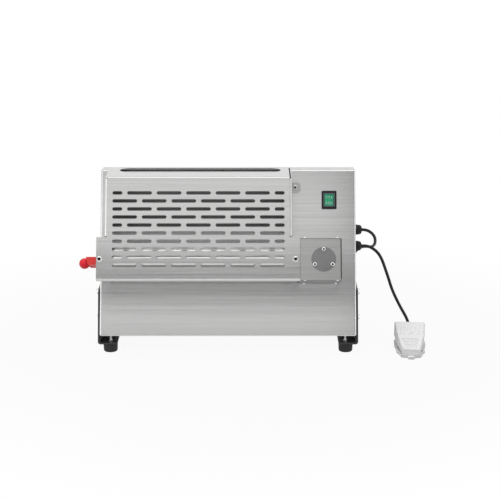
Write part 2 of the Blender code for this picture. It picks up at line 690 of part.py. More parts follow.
# Gear case
def gear_case():
    wall, front = 2.5 * MM, GUARD_OFFSET - 3 * MM
    inner_top = CASE_TOP - wall
    floor_top = CASE_BOTTOM + 2.2 * MM
    walls = [
        (CASE_LEFT, CASE_TOP),
        (CASE_LEFT, inner_top),
        (CASE_RIGHT - wall, inner_top),
        (CASE_RIGHT - wall, floor_top + GAP),
        (CASE_RIGHT, floor_top + GAP),
        (CASE_RIGHT, CASE_TOP),
    ]
    extrusion("gear_case", [walls], 0.4 * MM, front, PANEL, GREY_PAINT)
    floor = rectangle(CASE_LEFT, CASE_BOTTOM, CASE_RIGHT, floor_top)
    extrusion("gear_case_floor", [floor], 0.4 * MM, front, PANEL, GREY_PAINT)
    cover = rectangle(CASE_LEFT, CASE_BOTTOM, CASE_RIGHT - 2.7 * MM, CASE_TOP - 3.3 * MM)
    extrusion("gear_case_cover", [cover], front + GAP, GUARD_OFFSET, PANEL, GREY_PAINT)
    disc = circle((213 * MM, 164.7 * MM), 27.2 * MM, 40)
    extrusion("inspection_disc", [disc], GUARD_OFFSET + GAP, GUARD_OFFSET + 2.3 * MM, PANEL, GREY_PAINT)


# Drive
def drive():
    base_top = PANEL_BOTTOM + 2 * SHEET + 2 * GAP
    y, z = OUTPUT_AXIS
    shaft, rim = 10 * MM, OUTPUT_PULLEY_RADIUS
    box_left, box_right = 152 * MM, 214 * MM
    housing = rounded(rectangle(y - 48 * MM, base_top, y + 48 * MM, z + 40 * MM), 8 * MM)
    bore = circle(OUTPUT_AXIS, shaft + GAP, 24)
    extrusion("gearbox", [housing, bore], box_left, box_right, SIDE, GREY_PAINT)
    at_output = SIDE @ Matrix.Translation((*OUTPUT_AXIS, 0))
    flange, back = box_left - 0.4 * MM, -38 * MM
    can = [(0, flange), (46 * MM, flange), (50 * MM, 147 * MM), (50 * MM, -28 * MM)]
    turned("motor", can + [(42 * MM, back), (0, back)], at_output, GREY_PAINT, 32)
    low, high = 221 * MM, 233 * MM
    inner, outer = 180 * MM, high + 3 * MM
    pulley = [(0, outer), (shaft, outer), (shaft, high), (rim, high), (rim, low), (shaft, low)]
    turned("output_pulley", pulley + [(shaft, inner), (0, inner)], at_output, STEEL, 32)
    ring = [circle((0, 0), ROLLER_PULLEY_RADIUS, 32), circle((0, 0), JOURNAL_RADIUS + GAP)]
    extrusion("roller_pulley", ring, low, high, at_axis(REAR_AXIS), STEEL)
    roller = side_point(*REAR_AXIS)
    clearance, thickness = 0.5 * MM, 4.5 * MM
    outlines = [
        belt_outline(roller, ROLLER_PULLEY_RADIUS + more, OUTPUT_AXIS, OUTPUT_PULLEY_RADIUS + more)
        for more in (clearance + thickness, clearance)
    ]
    extrusion("drive_belt", outlines, low + MM, high - MM, SIDE, RUBBER)


# Switch
def rocker_switch():
    frame = PANEL @ Matrix.Translation((*SWITCH_CENTRE, 0))
    window = around((0, 0), 11 * MM, 13.4 * MM)
    bezel = rounded(around((0, 0), 17 * MM, 21 * MM), 2.5 * MM)
    extrusion("switch_bezel", [bezel, window], GAP, 4 * MM, frame, BLACK_PLASTIC)
    well = around((0, 0), 13.5 * MM, 16 * MM)
    body = extrusion("switch_body", [well, window], -14 * MM, 0, frame, BLACK_PLASTIC)
    back = around((0, 0), 13.3 * MM, 15.8 * MM)
    fuse(body, extrusion("switch_back", [back], -32 * MM, -13.5 * MM, frame, None))
    upper = [(12.6 * MM, -3 * MM), (12.8 * MM, 4.6 * MM), (0, 2.6 * MM)]
    profile = upper + [(-12.8 * MM, 4.6 * MM), (-12.6 * MM, -3 * MM), (0, -8 * MM)]
    tilt = Matrix.Rotation(ROCKER_TILT, 4, "X")
    across = Matrix.Rotation(math.pi / 2, 4, "Z") @ Matrix.Rotation(math.pi / 2, 4, "X")
    extrusion("switch_rocker", [profile], -10.5 * MM, 10.5 * MM, frame @ tilt @ across, GREEN_LENS)


def glands():
    """Cable glands on the right side: a thread, a collar and a domed nut, solid where the cord ends."""
    wall = HALF_WIDTH - SHEET
    profile = [
        (0, GLAND_END),
        (6 * MM, GLAND_END),
        (8.8 * MM, GLAND_END - 2 * MM),
        (10.4 * MM, GLAND_END - 5.5 * MM),
        (11.9 * MM, GLAND_END - 6.5 * MM),
        (11.9 * MM, wall + GAP),
        (8 * MM, wall + GAP),
        (8 * MM, wall - 10 * MM),
        (0, wall - 10 * MM),
    ]
    for name, z in (("mains_gland", MAINS_GLAND_Z), ("pedal_gland", PEDAL_GLAND_Z)):
        turned(name, profile, SIDE @ Matrix.Translation((GLAND_Y, z, 0)), BLACK_PLASTIC, 24)


# Pedal
def pin_hole(name):
    """A cutter for the hinge pin, right across the pedal."""
    return extrusion(name, [circle((0, 0), 2.3 * MM, 16)], -40 * MM, 40 * MM, AT_PIN, None)


def pedal_base():
    """A flat rim with a lug at the front and a shallow tub inside the treadle's skirt."""
    rim_height, tub_height = 5 * MM, 14 * MM
    half = [(35.5 * MM, 61 * MM), (35.5 * MM, 18 * MM), (30 * MM, -28 * MM), (21.5 * MM, -61 * MM)]
    half += [(7.5 * MM, -61 * MM), (7.5 * MM, -72 * MM)]
    rim = [(-x, y) for x, y in half] + half[::-1]
    base = extrusion("pedal_base", [rounded(rim, 8 * MM)], 0, rim_height, PEDAL, WHITE_PLASTIC)
    outer = [(-29 * MM, 50 * MM), (-14.5 * MM, -50.5 * MM), (14.5 * MM, -50.5 * MM), (29 * MM, 50 * MM)]
    inner = [(-26.5 * MM, 47.5 * MM), (-12 * MM, -48.2 * MM), (12 * MM, -48.2 * MM), (26.5 * MM, 47.5 * MM)]
    tub = extrusion("pedal_tub", [outer, inner], rim_height - 0.5 * MM, tub_height, PEDAL, None)
    fuse(base, tub)
    cut(base, pin_hole("base_pin_hole"))
    pin = [(0, 21.3 * MM), (2 * MM, 21.3 * MM), (2 * MM, -21.3 * MM), (0, -21.3 * MM)]
    turned("pedal_pin", pin, AT_PIN, STEEL, 16)


def pedal_treadle():
    """A shell open below, wide at the rear and tapering to the front."""
    flare = 0.4 * MM
    sections = [
        (57 * MM, 35.2 * MM, 50 * MM, 18 * MM),
        (-3 * MM, 29.8 * MM, 33.6 * MM, 13 * MM),
        (-54.5 * MM, 20.4 * MM, 18.7 * MM, 8 * MM),
    ]
    points = []
    for y, half, top, bottom in sections:
        wide = half + flare
        points += [(-half, y, top), (half, y, top), (wide, y, bottom), (-wide, y, bottom)]
    faces = [(0, 1, 2, 3), (11, 10, 9, 8)]
    for first in (0, 4):
        for here, there in ((0, 1), (1, 2), (3, 0)):
            faces.append((first + here, first + 4 + here, first + 4 + there, first + there))
    mesh = bpy.data.meshes.new("pedal_treadle")
    mesh.from_pydata(points, [], faces)
    treadle = add("pedal_treadle", mesh, PEDAL, WHITE_PLASTIC)
    as_sheet(treadle, 2.4 * MM, 3 * MM)
    notch = block("treadle_cord_notch", (-8 * MM, 45 * MM, 0), (8 * MM, 65 * MM, 30 * MM), PEDAL, None)
    cut(treadle, pin_hole("treadle_pin_hole"), notch)


def pedal_inside():
    """The return spring, the small switch under the treadle and the boot that the cord leaves by."""
    turns, radius, wire = 6, 7 * MM, 0.8 * MM
    low, high = 6.5 * MM, 37 * MM
    middle = 25 * MM
    count = turns * 10
    points = []
    for i in range(count + 1):
        turn = 2 * math.pi * turns * i / count
        x, y = radius * math.cos(turn), middle + radius * math.sin(turn)
        points.append(PEDAL @ Vector((x, y, low + (high - low) * i / count)))
    tube("pedal_spring", points, wire, STEEL, 1)
    block("pedal_microswitch", (-8 * MM, -22 * MM, 5.3 * MM), (8 * MM, 4 * MM, 17 * MM), PEDAL, BLACK_PLASTIC)
    boot = [(0, 85 * MM), (4.2 * MM, 85 * MM), (5.5 * MM, 60 * MM), (5.5 * MM, 50.3 * MM), (0, 50.3 * MM)]
    along = PEDAL @ Matrix.Translation((0, 0, PEDAL_PIN[1])) @ Matrix.Rotation(-math.pi / 2, 4, "X")
    turned("pedal_cord_boot", boot, along, BLACK_PLASTIC, 16)


# Cords
PEDAL_ROUTE = [
    (310.5, 150, 213.7),
    (318, 150, 213.6),
    (329, 150, 211.2),
    (339.5, 149.5, 205),
    (349.9, 149, 194.9),
    (358.3, 148.5, 180.2),
    (366.6, 148, 158.2),
    (374.4, 148, 135.7),
    (381.9, 149, 113),
    (391.7, 151, 90),
    (403.2, 153, 66.8),
    (412, 153.5, 51),
    (418.6, 152, 39),
    (422.8, 147.6, 28.4),
    (424.9, 139.4, 19.2),
    (424.8, 129, 13.3),
    (423, 118.8, 11.1),
    (421.6, 112.6, 11),
]
MAINS_ROUTE = [
    (310.6, 150, 252.6),
    (319.3, 150.2, 251.5),
    (327, 151, 248.3),
    (333.6, 152.8, 243.2),
    (338.7, 155.8, 236.6),
    (341.9, 160.8, 228.9),
    (343.2, 168.4, 220.6),
    (343.1, 179, 211.7),
    (341.3, 194, 203),
    (336.7, 218, 194),
    (328.6, 244, 188),
    (317.7, 268, 180),
    (306, 291, 163),
    (296, 309, 134),
    (287, 317, 94),
    (274, 318, 55),
    (253, 315, 25),
    (224, 311.5, 9),
    (192, 309.6, 5),
    (172, 309.05, 5),
    (157.3, 309, 5),
]


def smooth_route(points, step):
    """Even steps along a smooth curve through the points, in world metres."""
    places = [world_point(*(value * MM for value in point)) for point in points]
    ends = [2 * places[0] - places[1]] + places + [2 * places[-1] - places[-2]]
    fine = []
    spans = 20
    for four in zip(ends, ends[1:], ends[2:], ends[3:]):
        knots = [0]
        for here, there in zip(four, four[1:]):
            knots.append(knots[-1] + (there - here).length ** 0.5)
        for i in range(spans):
            fine.append(blend_point(knots[1] + (knots[2] - knots[1]) * i / spans, knots, four))
    fine.append(places[-1])
    return even_steps(fine, step)


def even_steps(fine, step):
    """Points at even distances along a line of close points."""
    lengths = [0]
    for here, there in zip(fine, fine[1:]):
        lengths.append(lengths[-1] + (there - here).length)
    count = max(2, round(lengths[-1] / step))
    made = []
    index = 0
    for i in range(count + 1):
        wanted = lengths[-1] * i / count
        while index < len(lengths) - 2 and lengths[index + 1] < wanted:
            index += 1
        share = (wanted - lengths[index]) / (lengths[index + 1] - lengths[index])
        made.append(fine[index].lerp(fine[index + 1], min(1, share)))
    return made


def blend_point(t, knots, four):
    """A point of the centripetal Catmull-Rom curve between the middle two of four points."""
    level = list(four)
    for starts, width in (((0, 1, 2), 1), ((0, 1), 2), ((1,), 1)):
        shares = [(t - knots[start]) / (knots[start + width] - knots[start]) for start in starts]
        level = [here.lerp(there, share) for here, there, share in zip(level, level[1:], shares)]
    return level[0]


def route_length(points):
    return sum((there - here).length for here, there in zip(points, points[1:]))


def coil_path(length):
    """A flat coil in two layers: in along the floor, up in half a turn, and out on top.

    It starts beside the cabinet's back, heading left, and its last stretch runs out straight.
    """
    straight = 2 * CORD_RADIUS
    wound = length - straight - COIL_TAIL
    innermost = math.sqrt(COIL_OUTER**2 - COIL_STEP * wound / (2 * math.pi))
    inward = (COIL_OUTER - innermost) / COIL_STEP
    step = 2 * math.pi / COIL_POINTS_PER_TURN
    total = 2 * inward * 2 * math.pi
    count = round(total / step)
    points = [world_point(COIL_CENTRE[0] + straight, COIL_CENTRE[1] - COIL_OUTER, COIL_LOW)]
    for i in range(count + 1):
        turned_by = total * i / count
        depth = min(turned_by, total - turned_by) / (2 * math.pi)
        climb = min(1, max(0, (turned_by - total / 2) / math.pi + 0.5))
        rise = climb * climb * (3 - 2 * climb)
        radius = COIL_OUTER - COIL_STEP * depth
        angle = -math.pi / 2 - turned_by
        points.append(
            world_point(
                COIL_CENTRE[0] + radius * math.cos(angle),
                COIL_CENTRE[1] + radius * math.sin(angle),
                COIL_LOW + rise * COIL_STEP,
            )
        )
    return points


def least_gap(points, apart):
    """The smallest clear distance between stretches of a tube more than some points apart."""
    nearest = min(
        (points[i] - points[j]).length
        for i in range(len(points))
        for j in range(i + apart, len(points))
    )
    return nearest - 2 * CORD_RADIUS


def cords():
    flex = smooth_route(PEDAL_ROUTE, CORD_STEP)
    tube("pedal_cord", flex, CORD_RADIUS, RUBBER, 2)
    lead = smooth_route(MAINS_ROUTE, CORD_STEP)
    tube("mains_lead", lead, CORD_RADIUS, RUBBER, 2)
    coil = coil_path(MAINS_LENGTH - route_length(lead))
    heading = (coil[-1] - coil[-2]).normalized()
    coil.append(coil[-1] + heading * COIL_TAIL)
    tube("mains_coil", coil, CORD_RADIUS, RUBBER, 1)
    print(f"pedal cord {route_length(flex):.3f} m")
    print(f"mains lead {route_length(lead):.3f} m, coil {route_length(coil):.3f} m")
    print(f"least gap between the coil's turns {least_gap(coil, 12) / MM:.2f} mm")
    mains_plug(coil[-1], heading)
    coil_tie()


def mains_plug(end, heading):
    """A round two-pin plug lying where the coil ends."""
    along = heading.to_track_quat("Z", "Y").to_matrix().to_4x4()
    frame = Matrix.Translation(end + heading * GAP) @ along
    body = [
        (0, 52 * MM),
        (11 * MM, 52 * MM),
        (12 * MM, 50 * MM),
        (12 * MM, 30 * MM),
        (9 * MM, 24 * MM),
        (5.5 * MM, 0),
        (0, 0),
    ]
    plug = turned("mains_plug", body, frame, BLACK_PLASTIC, 24)
    pin_spacing, tip, root = 12.6 * MM, 71 * MM, 50 * MM
    pin = [(0, tip), (1.8 * MM, tip), (2.4 * MM, tip - 1.5 * MM), (2.4 * MM, root), (0, root)]
    for side in (-1, 1):
        place = frame @ Matrix.Translation((side * pin_spacing / 2, 0, 0))
        fuse(plug, turned(f"plug_pin_{side}", pin, place, None, 12))


def coil_tie():
    """A band round the bundle of turns, on the side away from the plug."""
    inner_low, band = COIL_LOW - CORD_RADIUS - 0.5 * MM, 0.9 * MM
    inner_high = COIL_LOW + COIL_STEP + CORD_RADIUS + 0.5 * MM
    inner_left = COIL_OUTER - 3 * COIL_STEP - CORD_RADIUS
    inner_right = COIL_OUTER + CORD_RADIUS + 0.8 * MM
    window = rounded(rectangle(inner_left, inner_low, inner_right, inner_high), 3 * MM)
    corners = inner_left - band, inner_low - band, inner_right + band, inner_high + band
    outer = rounded(rectangle(*corners), 4 * MM)
    turn = Matrix.Rotation(math.radians(10), 4, "Z") @ Matrix.Rotation(math.pi / 2, 4, "X")
    frame = PLACE @ Matrix.Translation((*COIL_CENTRE, 0)) @ turn
    extrusion("coil_tie", [outer, window], -5 * MM, 5 * MM, frame, BLACK_PLASTIC)


for leftover in list(bpy.data.objects):
    bpy.data.objects.remove(leftover)
PARTS = collection("dough_roller")
CUTTERS = collection("dough_roller_cutters")

front_panel()
rear_cover()
side_panels()
base_plate()
feet()
slotted_guard()
guard_top()
guard_screws()
bearing_plates()
rollers()
sliding_blocks()
scrapers()
gap_lever()
index_knob()
gear_case()
drive()
rocker_switch()
glands()
pedal_base()
pedal_treadle()
pedal_inside()
cords()
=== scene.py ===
"""Looks of the electric dough roller: finishes, bent sheet, fasteners, cords, light and camera."""

import json
import math

import bmesh
import bpy
from mathutils import Matrix, Vector

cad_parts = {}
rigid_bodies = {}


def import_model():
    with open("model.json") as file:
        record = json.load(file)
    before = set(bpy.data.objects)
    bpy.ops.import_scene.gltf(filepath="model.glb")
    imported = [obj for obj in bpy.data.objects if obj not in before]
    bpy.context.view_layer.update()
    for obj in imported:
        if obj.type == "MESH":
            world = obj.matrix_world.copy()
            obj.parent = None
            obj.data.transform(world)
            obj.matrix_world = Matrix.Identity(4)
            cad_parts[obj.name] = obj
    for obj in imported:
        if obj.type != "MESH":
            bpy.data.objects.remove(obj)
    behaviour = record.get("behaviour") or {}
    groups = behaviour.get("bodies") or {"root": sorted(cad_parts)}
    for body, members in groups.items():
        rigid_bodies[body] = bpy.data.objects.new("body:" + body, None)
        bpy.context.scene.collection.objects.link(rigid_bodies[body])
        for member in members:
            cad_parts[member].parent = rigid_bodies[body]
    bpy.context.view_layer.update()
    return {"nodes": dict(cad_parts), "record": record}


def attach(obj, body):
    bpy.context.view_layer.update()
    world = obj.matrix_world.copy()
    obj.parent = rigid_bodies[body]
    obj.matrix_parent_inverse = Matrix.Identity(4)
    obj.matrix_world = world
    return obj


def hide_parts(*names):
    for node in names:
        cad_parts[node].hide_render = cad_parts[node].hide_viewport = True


for leftover in list(bpy.data.objects):
    bpy.data.objects.remove(leftover)
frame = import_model()
NODES = frame["nodes"]

MM = 0.001
GAP = 0.3 * MM
SHARP, BEVELLED = math.radians(35), math.radians(40)
QUARTER = math.pi / 2
SIDES = ((-1, "left"), (1, "right"))


def mm(*values):
    """Millimetres turned into metres."""
    return tuple(value * MM for value in values)


def in_mm(points):
    """Points given in millimetres, turned into metres."""
    return [mm(*point) for point in points]


def shift(x, y, z):
    return Matrix.Translation((x, y, z))


def turn(angle, axis):
    return Matrix.Rotation(angle, 4, axis)


# The part's driving dimensions
MIDDLE = mm(62.8, 116.75)
PANEL_LEAN = math.radians(21)
LEAN_SIN, LEAN_COS, LEAN_TAN = math.sin(PANEL_LEAN), math.cos(PANEL_LEAN), math.tan(PANEL_LEAN)
PANEL_BOTTOM = 40 * MM
PANEL_LENGTH = 382.4 * MM
BODY_DEPTH = 290 * MM
ROOF_DEPTH = 32 * MM
HALF_WIDTH = 291.5 * MM
SHEET = 1.5 * MM
ROOF_Z = PANEL_BOTTOM + PANEL_LENGTH * LEAN_COS
PANEL_TOP_Y = PANEL_LENGTH * LEAN_SIN
REAR_LEAN = math.atan2(BODY_DEPTH - PANEL_TOP_Y - ROOF_DEPTH, ROOF_Z - PANEL_BOTTOM)
GUARD_OFFSET = 104 * MM
EAR_LEFT, EAR_RIGHT = mm(-290.4, 161.2)
EAR_BOTTOM, EAR_TOP = mm(116.5, 214)
CHEEK_LEFT, CHEEK_RIGHT = mm(-272.8, 143.2)
GUARD_TOP_Z = ROOF_Z + 5.9 * MM
CASE_LEFT, CASE_RIGHT = mm(161.6, 253.2)
CASE_BOTTOM, CASE_TOP = mm(119.4, 213.2)
DISC_CENTRE, DISC_FACE = mm(213, 164.7), GUARD_OFFSET + 2.2 * MM
SWITCH_CENTRE = mm(230.9, 312.25)
ROCKER_TILT = math.radians(8)
KNOB_PLACE = mm(86, 157)
PEDAL_PLACE = mm(416.5, 27)
PEDAL_TURN = math.radians(-3.4)
TREADLE_FRONT, TREADLE_BEND, TREADLE_REAR = mm(-54.5, 18.7), mm(-3, 33.6), mm(57, 50)
GLAND_Y, GLAND_END = mm(150, 309.8)
GLAND_HEIGHTS = {"mains_gland": 252.6 * MM, "pedal_gland": 213.7 * MM}
BRACKET_OUTER = HALF_WIDTH + 4.3 * MM
CORD_RADIUS = 3.5 * MM
COIL_CENTRE = mm(150, 355)
COIL_OUTER, COIL_STEP, COIL_LOW = mm(46, 7.6, 5)

# Frames: the panel's is across, up the panel and out of it; the side's is back, up and across
SIDEWAYS = turn(QUARTER, "Z") @ turn(QUARTER, "X")
PLACE = shift(-MIDDLE[0], -MIDDLE[1], 0)
PANEL = PLACE @ shift(0, 0, PANEL_BOTTOM) @ turn(QUARTER - PANEL_LEAN, "X")
SIDE = PLACE @ SIDEWAYS
REAR = PLACE @ shift(0, BODY_DEPTH, PANEL_BOTTOM) @ turn(math.pi, "Z") @ turn(QUARTER - REAR_LEAN, "X")
BAY = PANEL @ turn(QUARTER, "Y")
PEDAL = PLACE @ shift(*PEDAL_PLACE, 0) @ turn(PEDAL_TURN, "Z")


def on_panel(x, slope, offset):
    return PANEL @ shift(x, slope, offset)


def on_side(side, y, z, out):
    """A seat that looks out of the cabinet's side, out metres from its middle plane."""
    return SIDE @ shift(y, z, side * out) @ turn(math.pi if side < 0 else 0, "Y")


# Materials
NOISE_LOW, NOISE_HIGH = 0.3, 0.7
STREAK_SHARE, BAND_SHARE, BAND_SCALE = 0.6, (0.15, 0.25), 0.35
STEEL_TONES = (0.86, 1.11)
SLOW_SCALE, GRAIN_STRENGTH = 18.0, 0.25


def set_inputs(node, values):
    for name, value in values.items():
        node.inputs[name].default_value = value


def new_material(name, colour, roughness, metallic=0.0):
    """A Principled material and its shader node."""
    made = bpy.data.materials.new(name)
    made.use_nodes = True
    shader = made.node_tree.nodes["Principled BSDF"]
    set_inputs(shader, {"Base Color": (*colour, 1), "Roughness": roughness, "Metallic": metallic})
    return made, shader


def link(material, source, target):
    material.node_tree.links.new(source, target)


def combine(material, operation, *sources):
    """The result of a Math node over one to three sources."""
    made = material.node_tree.nodes.new("ShaderNodeMath")
    made.operation = operation
    for source, target in zip(sources, made.inputs):
        if isinstance(source, float):
            target.default_value = source
        else:
            link(material, source, target)
    return made.outputs["Value"]


def noise(material, stretch, detail=4.0, roughness=0.6):
    """Noise in the piece's own metres, stretched by a scale for each axis."""
    nodes = material.node_tree.nodes
    place = nodes.new("ShaderNodeTexCoord")
    mapping = nodes.new("ShaderNodeMapping")
    set_inputs(mapping, {"Scale": stretch})
    texture = nodes.new("ShaderNodeTexNoise")
    set_inputs(texture, {"Scale": 1.0, "Detail": detail, "Roughness": roughness})
    link(material, place.outputs["Object"], mapping.inputs["Vector"])
    link(material, mapping.outputs["Vector"], texture.inputs["Vector"])
    return texture.outputs["Fac"]


def spread(material, source, low, high):
    """Noise values, mostly from NOISE_LOW to NOISE_HIGH, spread over a range of numbers."""
    made = material.node_tree.nodes.new("ShaderNodeMapRange")
    set_inputs(made, {"From Min": NOISE_LOW, "From Max": NOISE_HIGH, "To Min": low, "To Max": high})
    link(material, source, made.inputs["Value"])
    return made.outputs["Result"]


def tones(material, source, colour, dark, light):
    """Noise values turned into a darker to a lighter tone of a colour."""
    made = material.node_tree.nodes.new("ShaderNodeValToRGB")
    for element, place, factor in zip(made.color_ramp.elements, (NOISE_LOW, NOISE_HIGH), (dark, light)):
        element.position = place
        element.color = (*(min(1.0, value * factor) for value in colour), 1)
    link(material, source, made.inputs["Fac"])
    return made.outputs["Color"]


def bump(material, shader, source, strength, distance):
    made = material.node_tree.nodes.new("ShaderNodeBump")
    set_inputs(made, {"Strength": strength, "Distance": distance})
    link(material, source, made.inputs["Height"])
    link(material, made.outputs["Normal"], shader.inputs["Normal"])


def brushed(name, colour, roughness, along=(3.0, 40.0, 360.0)):
    """Brushed steel: streaks over broader bands, in colour and roughness, by a noise scale for each axis."""
    made, shader = new_material(name, colour, roughness, 1.0)
    streaks = noise(made, along, 5.0, 0.7)
    bands = noise(made, tuple(BAND_SCALE * value for value in along), 3.0)
    mix = combine(made, "MULTIPLY_ADD", streaks, STREAK_SHARE, spread(made, bands, *BAND_SHARE))
    link(made, tones(made, mix, colour, *STEEL_TONES), shader.inputs["Base Color"])
    link(made, spread(made, streaks, roughness - 0.015, roughness + 0.02), shader.inputs["Roughness"])
    return made


def grained(name, colour, roughness, grain, depth, metallic=0.0, tone=0.12, gloss=0.5):
    """Plastic, paint, rubber or cast metal: slow changes of tone and a fine grain, its depth in mm."""
    made, shader = new_material(name, colour, roughness, metallic)
    grains = noise(made, (grain,) * 3, 3.0)
    slow = noise(made, (SLOW_SCALE,) * 3)
    link(made, tones(made, slow, colour, 1 - tone, 1 + tone), shader.inputs["Base Color"])
    link(made, spread(made, slow, roughness - 0.05, roughness + 0.07), shader.inputs["Roughness"])
    bump(made, shader, grains, GRAIN_STRENGTH, depth * MM)
    set_inputs(shader, {"Specular IOR Level": gloss})
    return made


STEEL = (0.60, 0.60, 0.595)
FINISHES = {
    "brushed_steel": brushed("brushed_steel_finish", STEEL, 0.25),
    "case_steel": brushed("case_steel_finish", (0.45, 0.45, 0.445), 0.34),
    "disc_grey": grained("disc_finish", (0.21, 0.21, 0.21), 0.55, 1500, 0.06, 0.3),
    "fastener_steel": grained("fastener_finish", (0.8, 0.8, 0.79), 0.24, 900, 0.02, 1.0, 0.08),
    "bearing_aluminium": grained("aluminium_finish", (0.58, 0.58, 0.59), 0.42, 700, 0.03, 1.0, 0.08),
    "bush_brass": grained("brass_finish", (0.6, 0.45, 0.2), 0.35, 700, 0.02, 1.0, 0.1),
    "bracket_black": grained("bracket_finish", (0.028, 0.028, 0.03), 0.42, 1200, 0.08, 0.0, 0.2),
    "foot_rubber": grained("rubber_finish", (0.016, 0.016, 0.016), 0.7, 900, 0.08, 0.0, 0.25),
    "roller_white": grained("roller_finish", (0.97, 0.97, 0.96), 0.2, 500, 0.002, 1.0, 0.02),
    "lever_red": grained("lever_finish", (0.72, 0.05, 0.043), 0.45, 1100, 0.03, 0.0, 0.05, 0.25),
    "knob_red": grained("knob_finish", (0.76, 0.014, 0.032), 0.34, 600, 0.002, 0.0, 0.03, 0.3),
    "black_plastic": grained("black_plastic_finish", (0.012, 0.012, 0.014), 0.4, 1000, 0.05, 0.0, 0.2, 0.25),
    "cord_black": grained("cord_finish", (0.01, 0.01, 0.01), 0.45, 1300, 0.04, 0.0, 0.2, 0.3),
    "lens_green": grained("lens_finish", (0.006, 0.42, 0.21), 0.22, 700, 0.02, 0.0, 0.3),
    "pedal_white": grained("pedal_finish", (0.8, 0.8, 0.805), 0.42, 1500, 0.03, 0.0, 0.03),
}
# A darker copy of the steel for the guard sheet's inner face: painted shade.
SHADED_INNER_STEEL = brushed("painted_shade_inner_finish", (0.45, 0.45, 0.45), 0.4)
# Dark steel for the gear case's floor: painted shade under the case.
SHADED_FLOOR_STEEL = brushed("painted_shade_floor_finish", (0.27, 0.27, 0.27), 0.5)
# Near-black for the screws' hexagon sockets: painted shade in the recess.
SOCKET_SHADE = grained("painted_socket_shade_finish", (0.02, 0.02, 0.02), 0.6, 900, 0.02, 0.5)
SIDE_STEEL = brushed("side_steel_finish", STEEL, 0.3, (430.0, 430.0, 4.0))
# Dark grey for the sheet behind the guard's slots: painted shade.
BACKING_SHADE_GREY = grained("painted_backing_shade_finish", (0.16, 0.16, 0.16), 0.4, 900, 0.02, 0.0, 0.15)
RING_GREY = grained("ring_finish", (0.14, 0.145, 0.16), 0.35, 900, 0.02, 0.0, 0.1)
# Pale green for bars and a ring on the rocker's lens: painted reflections.
REFLECTION_GREEN = grained("painted_reflection_finish", (0.55, 0.72, 0.64), 0.4, 900, 0.01, 0.0, 0.05)


# Shading of pieces and of the part's solids
def smoothing():
    """A modifier's node group that shades smooth and keeps edges sharper than SHARP."""
    group = bpy.data.node_groups.new("smooth_by_angle", "GeometryNodeTree")
    for side in ("INPUT", "OUTPUT"):
        group.interface.new_socket("Geometry", in_out=side, socket_type="NodeSocketGeometry")
    start = group.nodes.new("NodeGroupInput")
    end = group.nodes.new("NodeGroupOutput")
    faces = group.nodes.new("GeometryNodeSetShadeSmooth")
    edges = group.nodes.new("GeometryNodeSetShadeSmooth")
    edges.domain = "EDGE"
    edges.inputs["Shade Smooth"].default_value = False
    angle = group.nodes.new("GeometryNodeInputMeshEdgeAngle")
    sharper = group.nodes.new("FunctionNodeCompare")
    sharper.operation = "GREATER_THAN"
    sharper.inputs[1].default_value = SHARP
    group.links.new(start.outputs[0], faces.inputs["Geometry"])
    group.links.new(faces.outputs["Geometry"], edges.inputs["Geometry"])
    group.links.new(angle.outputs["Unsigned Angle"], sharper.inputs[0])
    group.links.new(sharper.outputs[0], edges.inputs["Selection"])
    group.links.new(edges.outputs["Geometry"], end.inputs[0])
    return group


SMOOTHING = smoothing()


def round_edges(made, width, segments=2):
    """Rounds the sharp edges a little, or not at all for a width of 0, and shades the rest smooth."""
    if width:
        bevel = made.modifiers.new("Edges", "BEVEL")
        bevel.width = width
        bevel.segments = segments
        bevel.limit_method = "ANGLE"
        bevel.angle_limit = BEVELLED
    shading = made.modifiers.new("Shading", "NODES")
    shading.node_group = SMOOTHING
    normals = made.modifiers.new("Normals", "WEIGHTED_NORMAL")
    normals.keep_sharp = True


def thicken(made, thickness):
    """Gives a skin its sheet's thickness, inwards."""
    solid = made.modifiers.new("Sheet", "SOLIDIFY")
    solid.thickness = thickness
    solid.offset = -1
    solid.use_even_offset = True
    return solid


def refine(name, finish, width):
    """Gives a solid of the part its finish, whole flat faces and rounded edges."""
    node = NODES[name]
    node.data.materials.clear()
    node.data.materials.append(finish)
    weld = node.modifiers.new("Weld", "WELD")
    weld.merge_threshold = 0.01 * MM
    flat = node.modifiers.new("Flat", "DECIMATE")
    flat.decimate_type = "DISSOLVE"
    flat.angle_limit = math.radians(0.5)
    round_edges(node, width)


# The part's own solids
PLAIN_EDGE = 0.4 * MM
EDGES = {
    "front_panel": 0.3 * MM,
    "rear_cover": 0.3 * MM,
    "gear_case": 0.7 * MM,
    "gear_case_cover": 0.5 * MM,
    "left_foot_bracket": 1.2 * MM,
    "right_foot_bracket": 1.2 * MM,
    "gap_lever": 0.6 * MM,
    "switch_bezel": 0.9 * MM,
    "pedal_treadle": 1.0 * MM,
    "pedal_base": 0.8 * MM,
    "front_roller_gear": 0,
    "rear_roller_gear": 0,
    "pedal_spring": 0,
    "drive_belt": 0,
}
# The gear case's floor takes the dark steel as painted shade.
OWN_FINISHES = {"left_side_panel": SIDE_STEEL, "right_side_panel": SIDE_STEEL, "gear_case_floor": SHADED_FLOOR_STEEL}


def finish_solids():
    slots = {part["node"]: part["material_slot"] for part in frame["record"]["subparts"]}
    for name in sorted(NODES):
        refine(name, OWN_FINISHES.get(name, FINISHES[slots[name]]), EDGES.get(name, PLAIN_EDGE))


# Pieces
def add_object(name, data):
    made = bpy.data.objects.new(name, data)
    bpy.context.scene.collection.objects.link(made)
    return made


def piece(name, data, slot, body="machine", replaced=(), finish=None, edge=None, segments=2):
    """Adds a mesh or curve, given in world metres, as a piece that rides on a body.

    With an edge width, its sharp edges are rounded and the rest is shaded smooth.
    """
    data.name = name
    made = add_object(name, data)
    data.materials.append(finish or FINISHES[slot])
    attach(made, body)
    if replaced:
        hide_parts(*replaced)
    if edge is not None:
        round_edges(made, edge, segments)
    return made


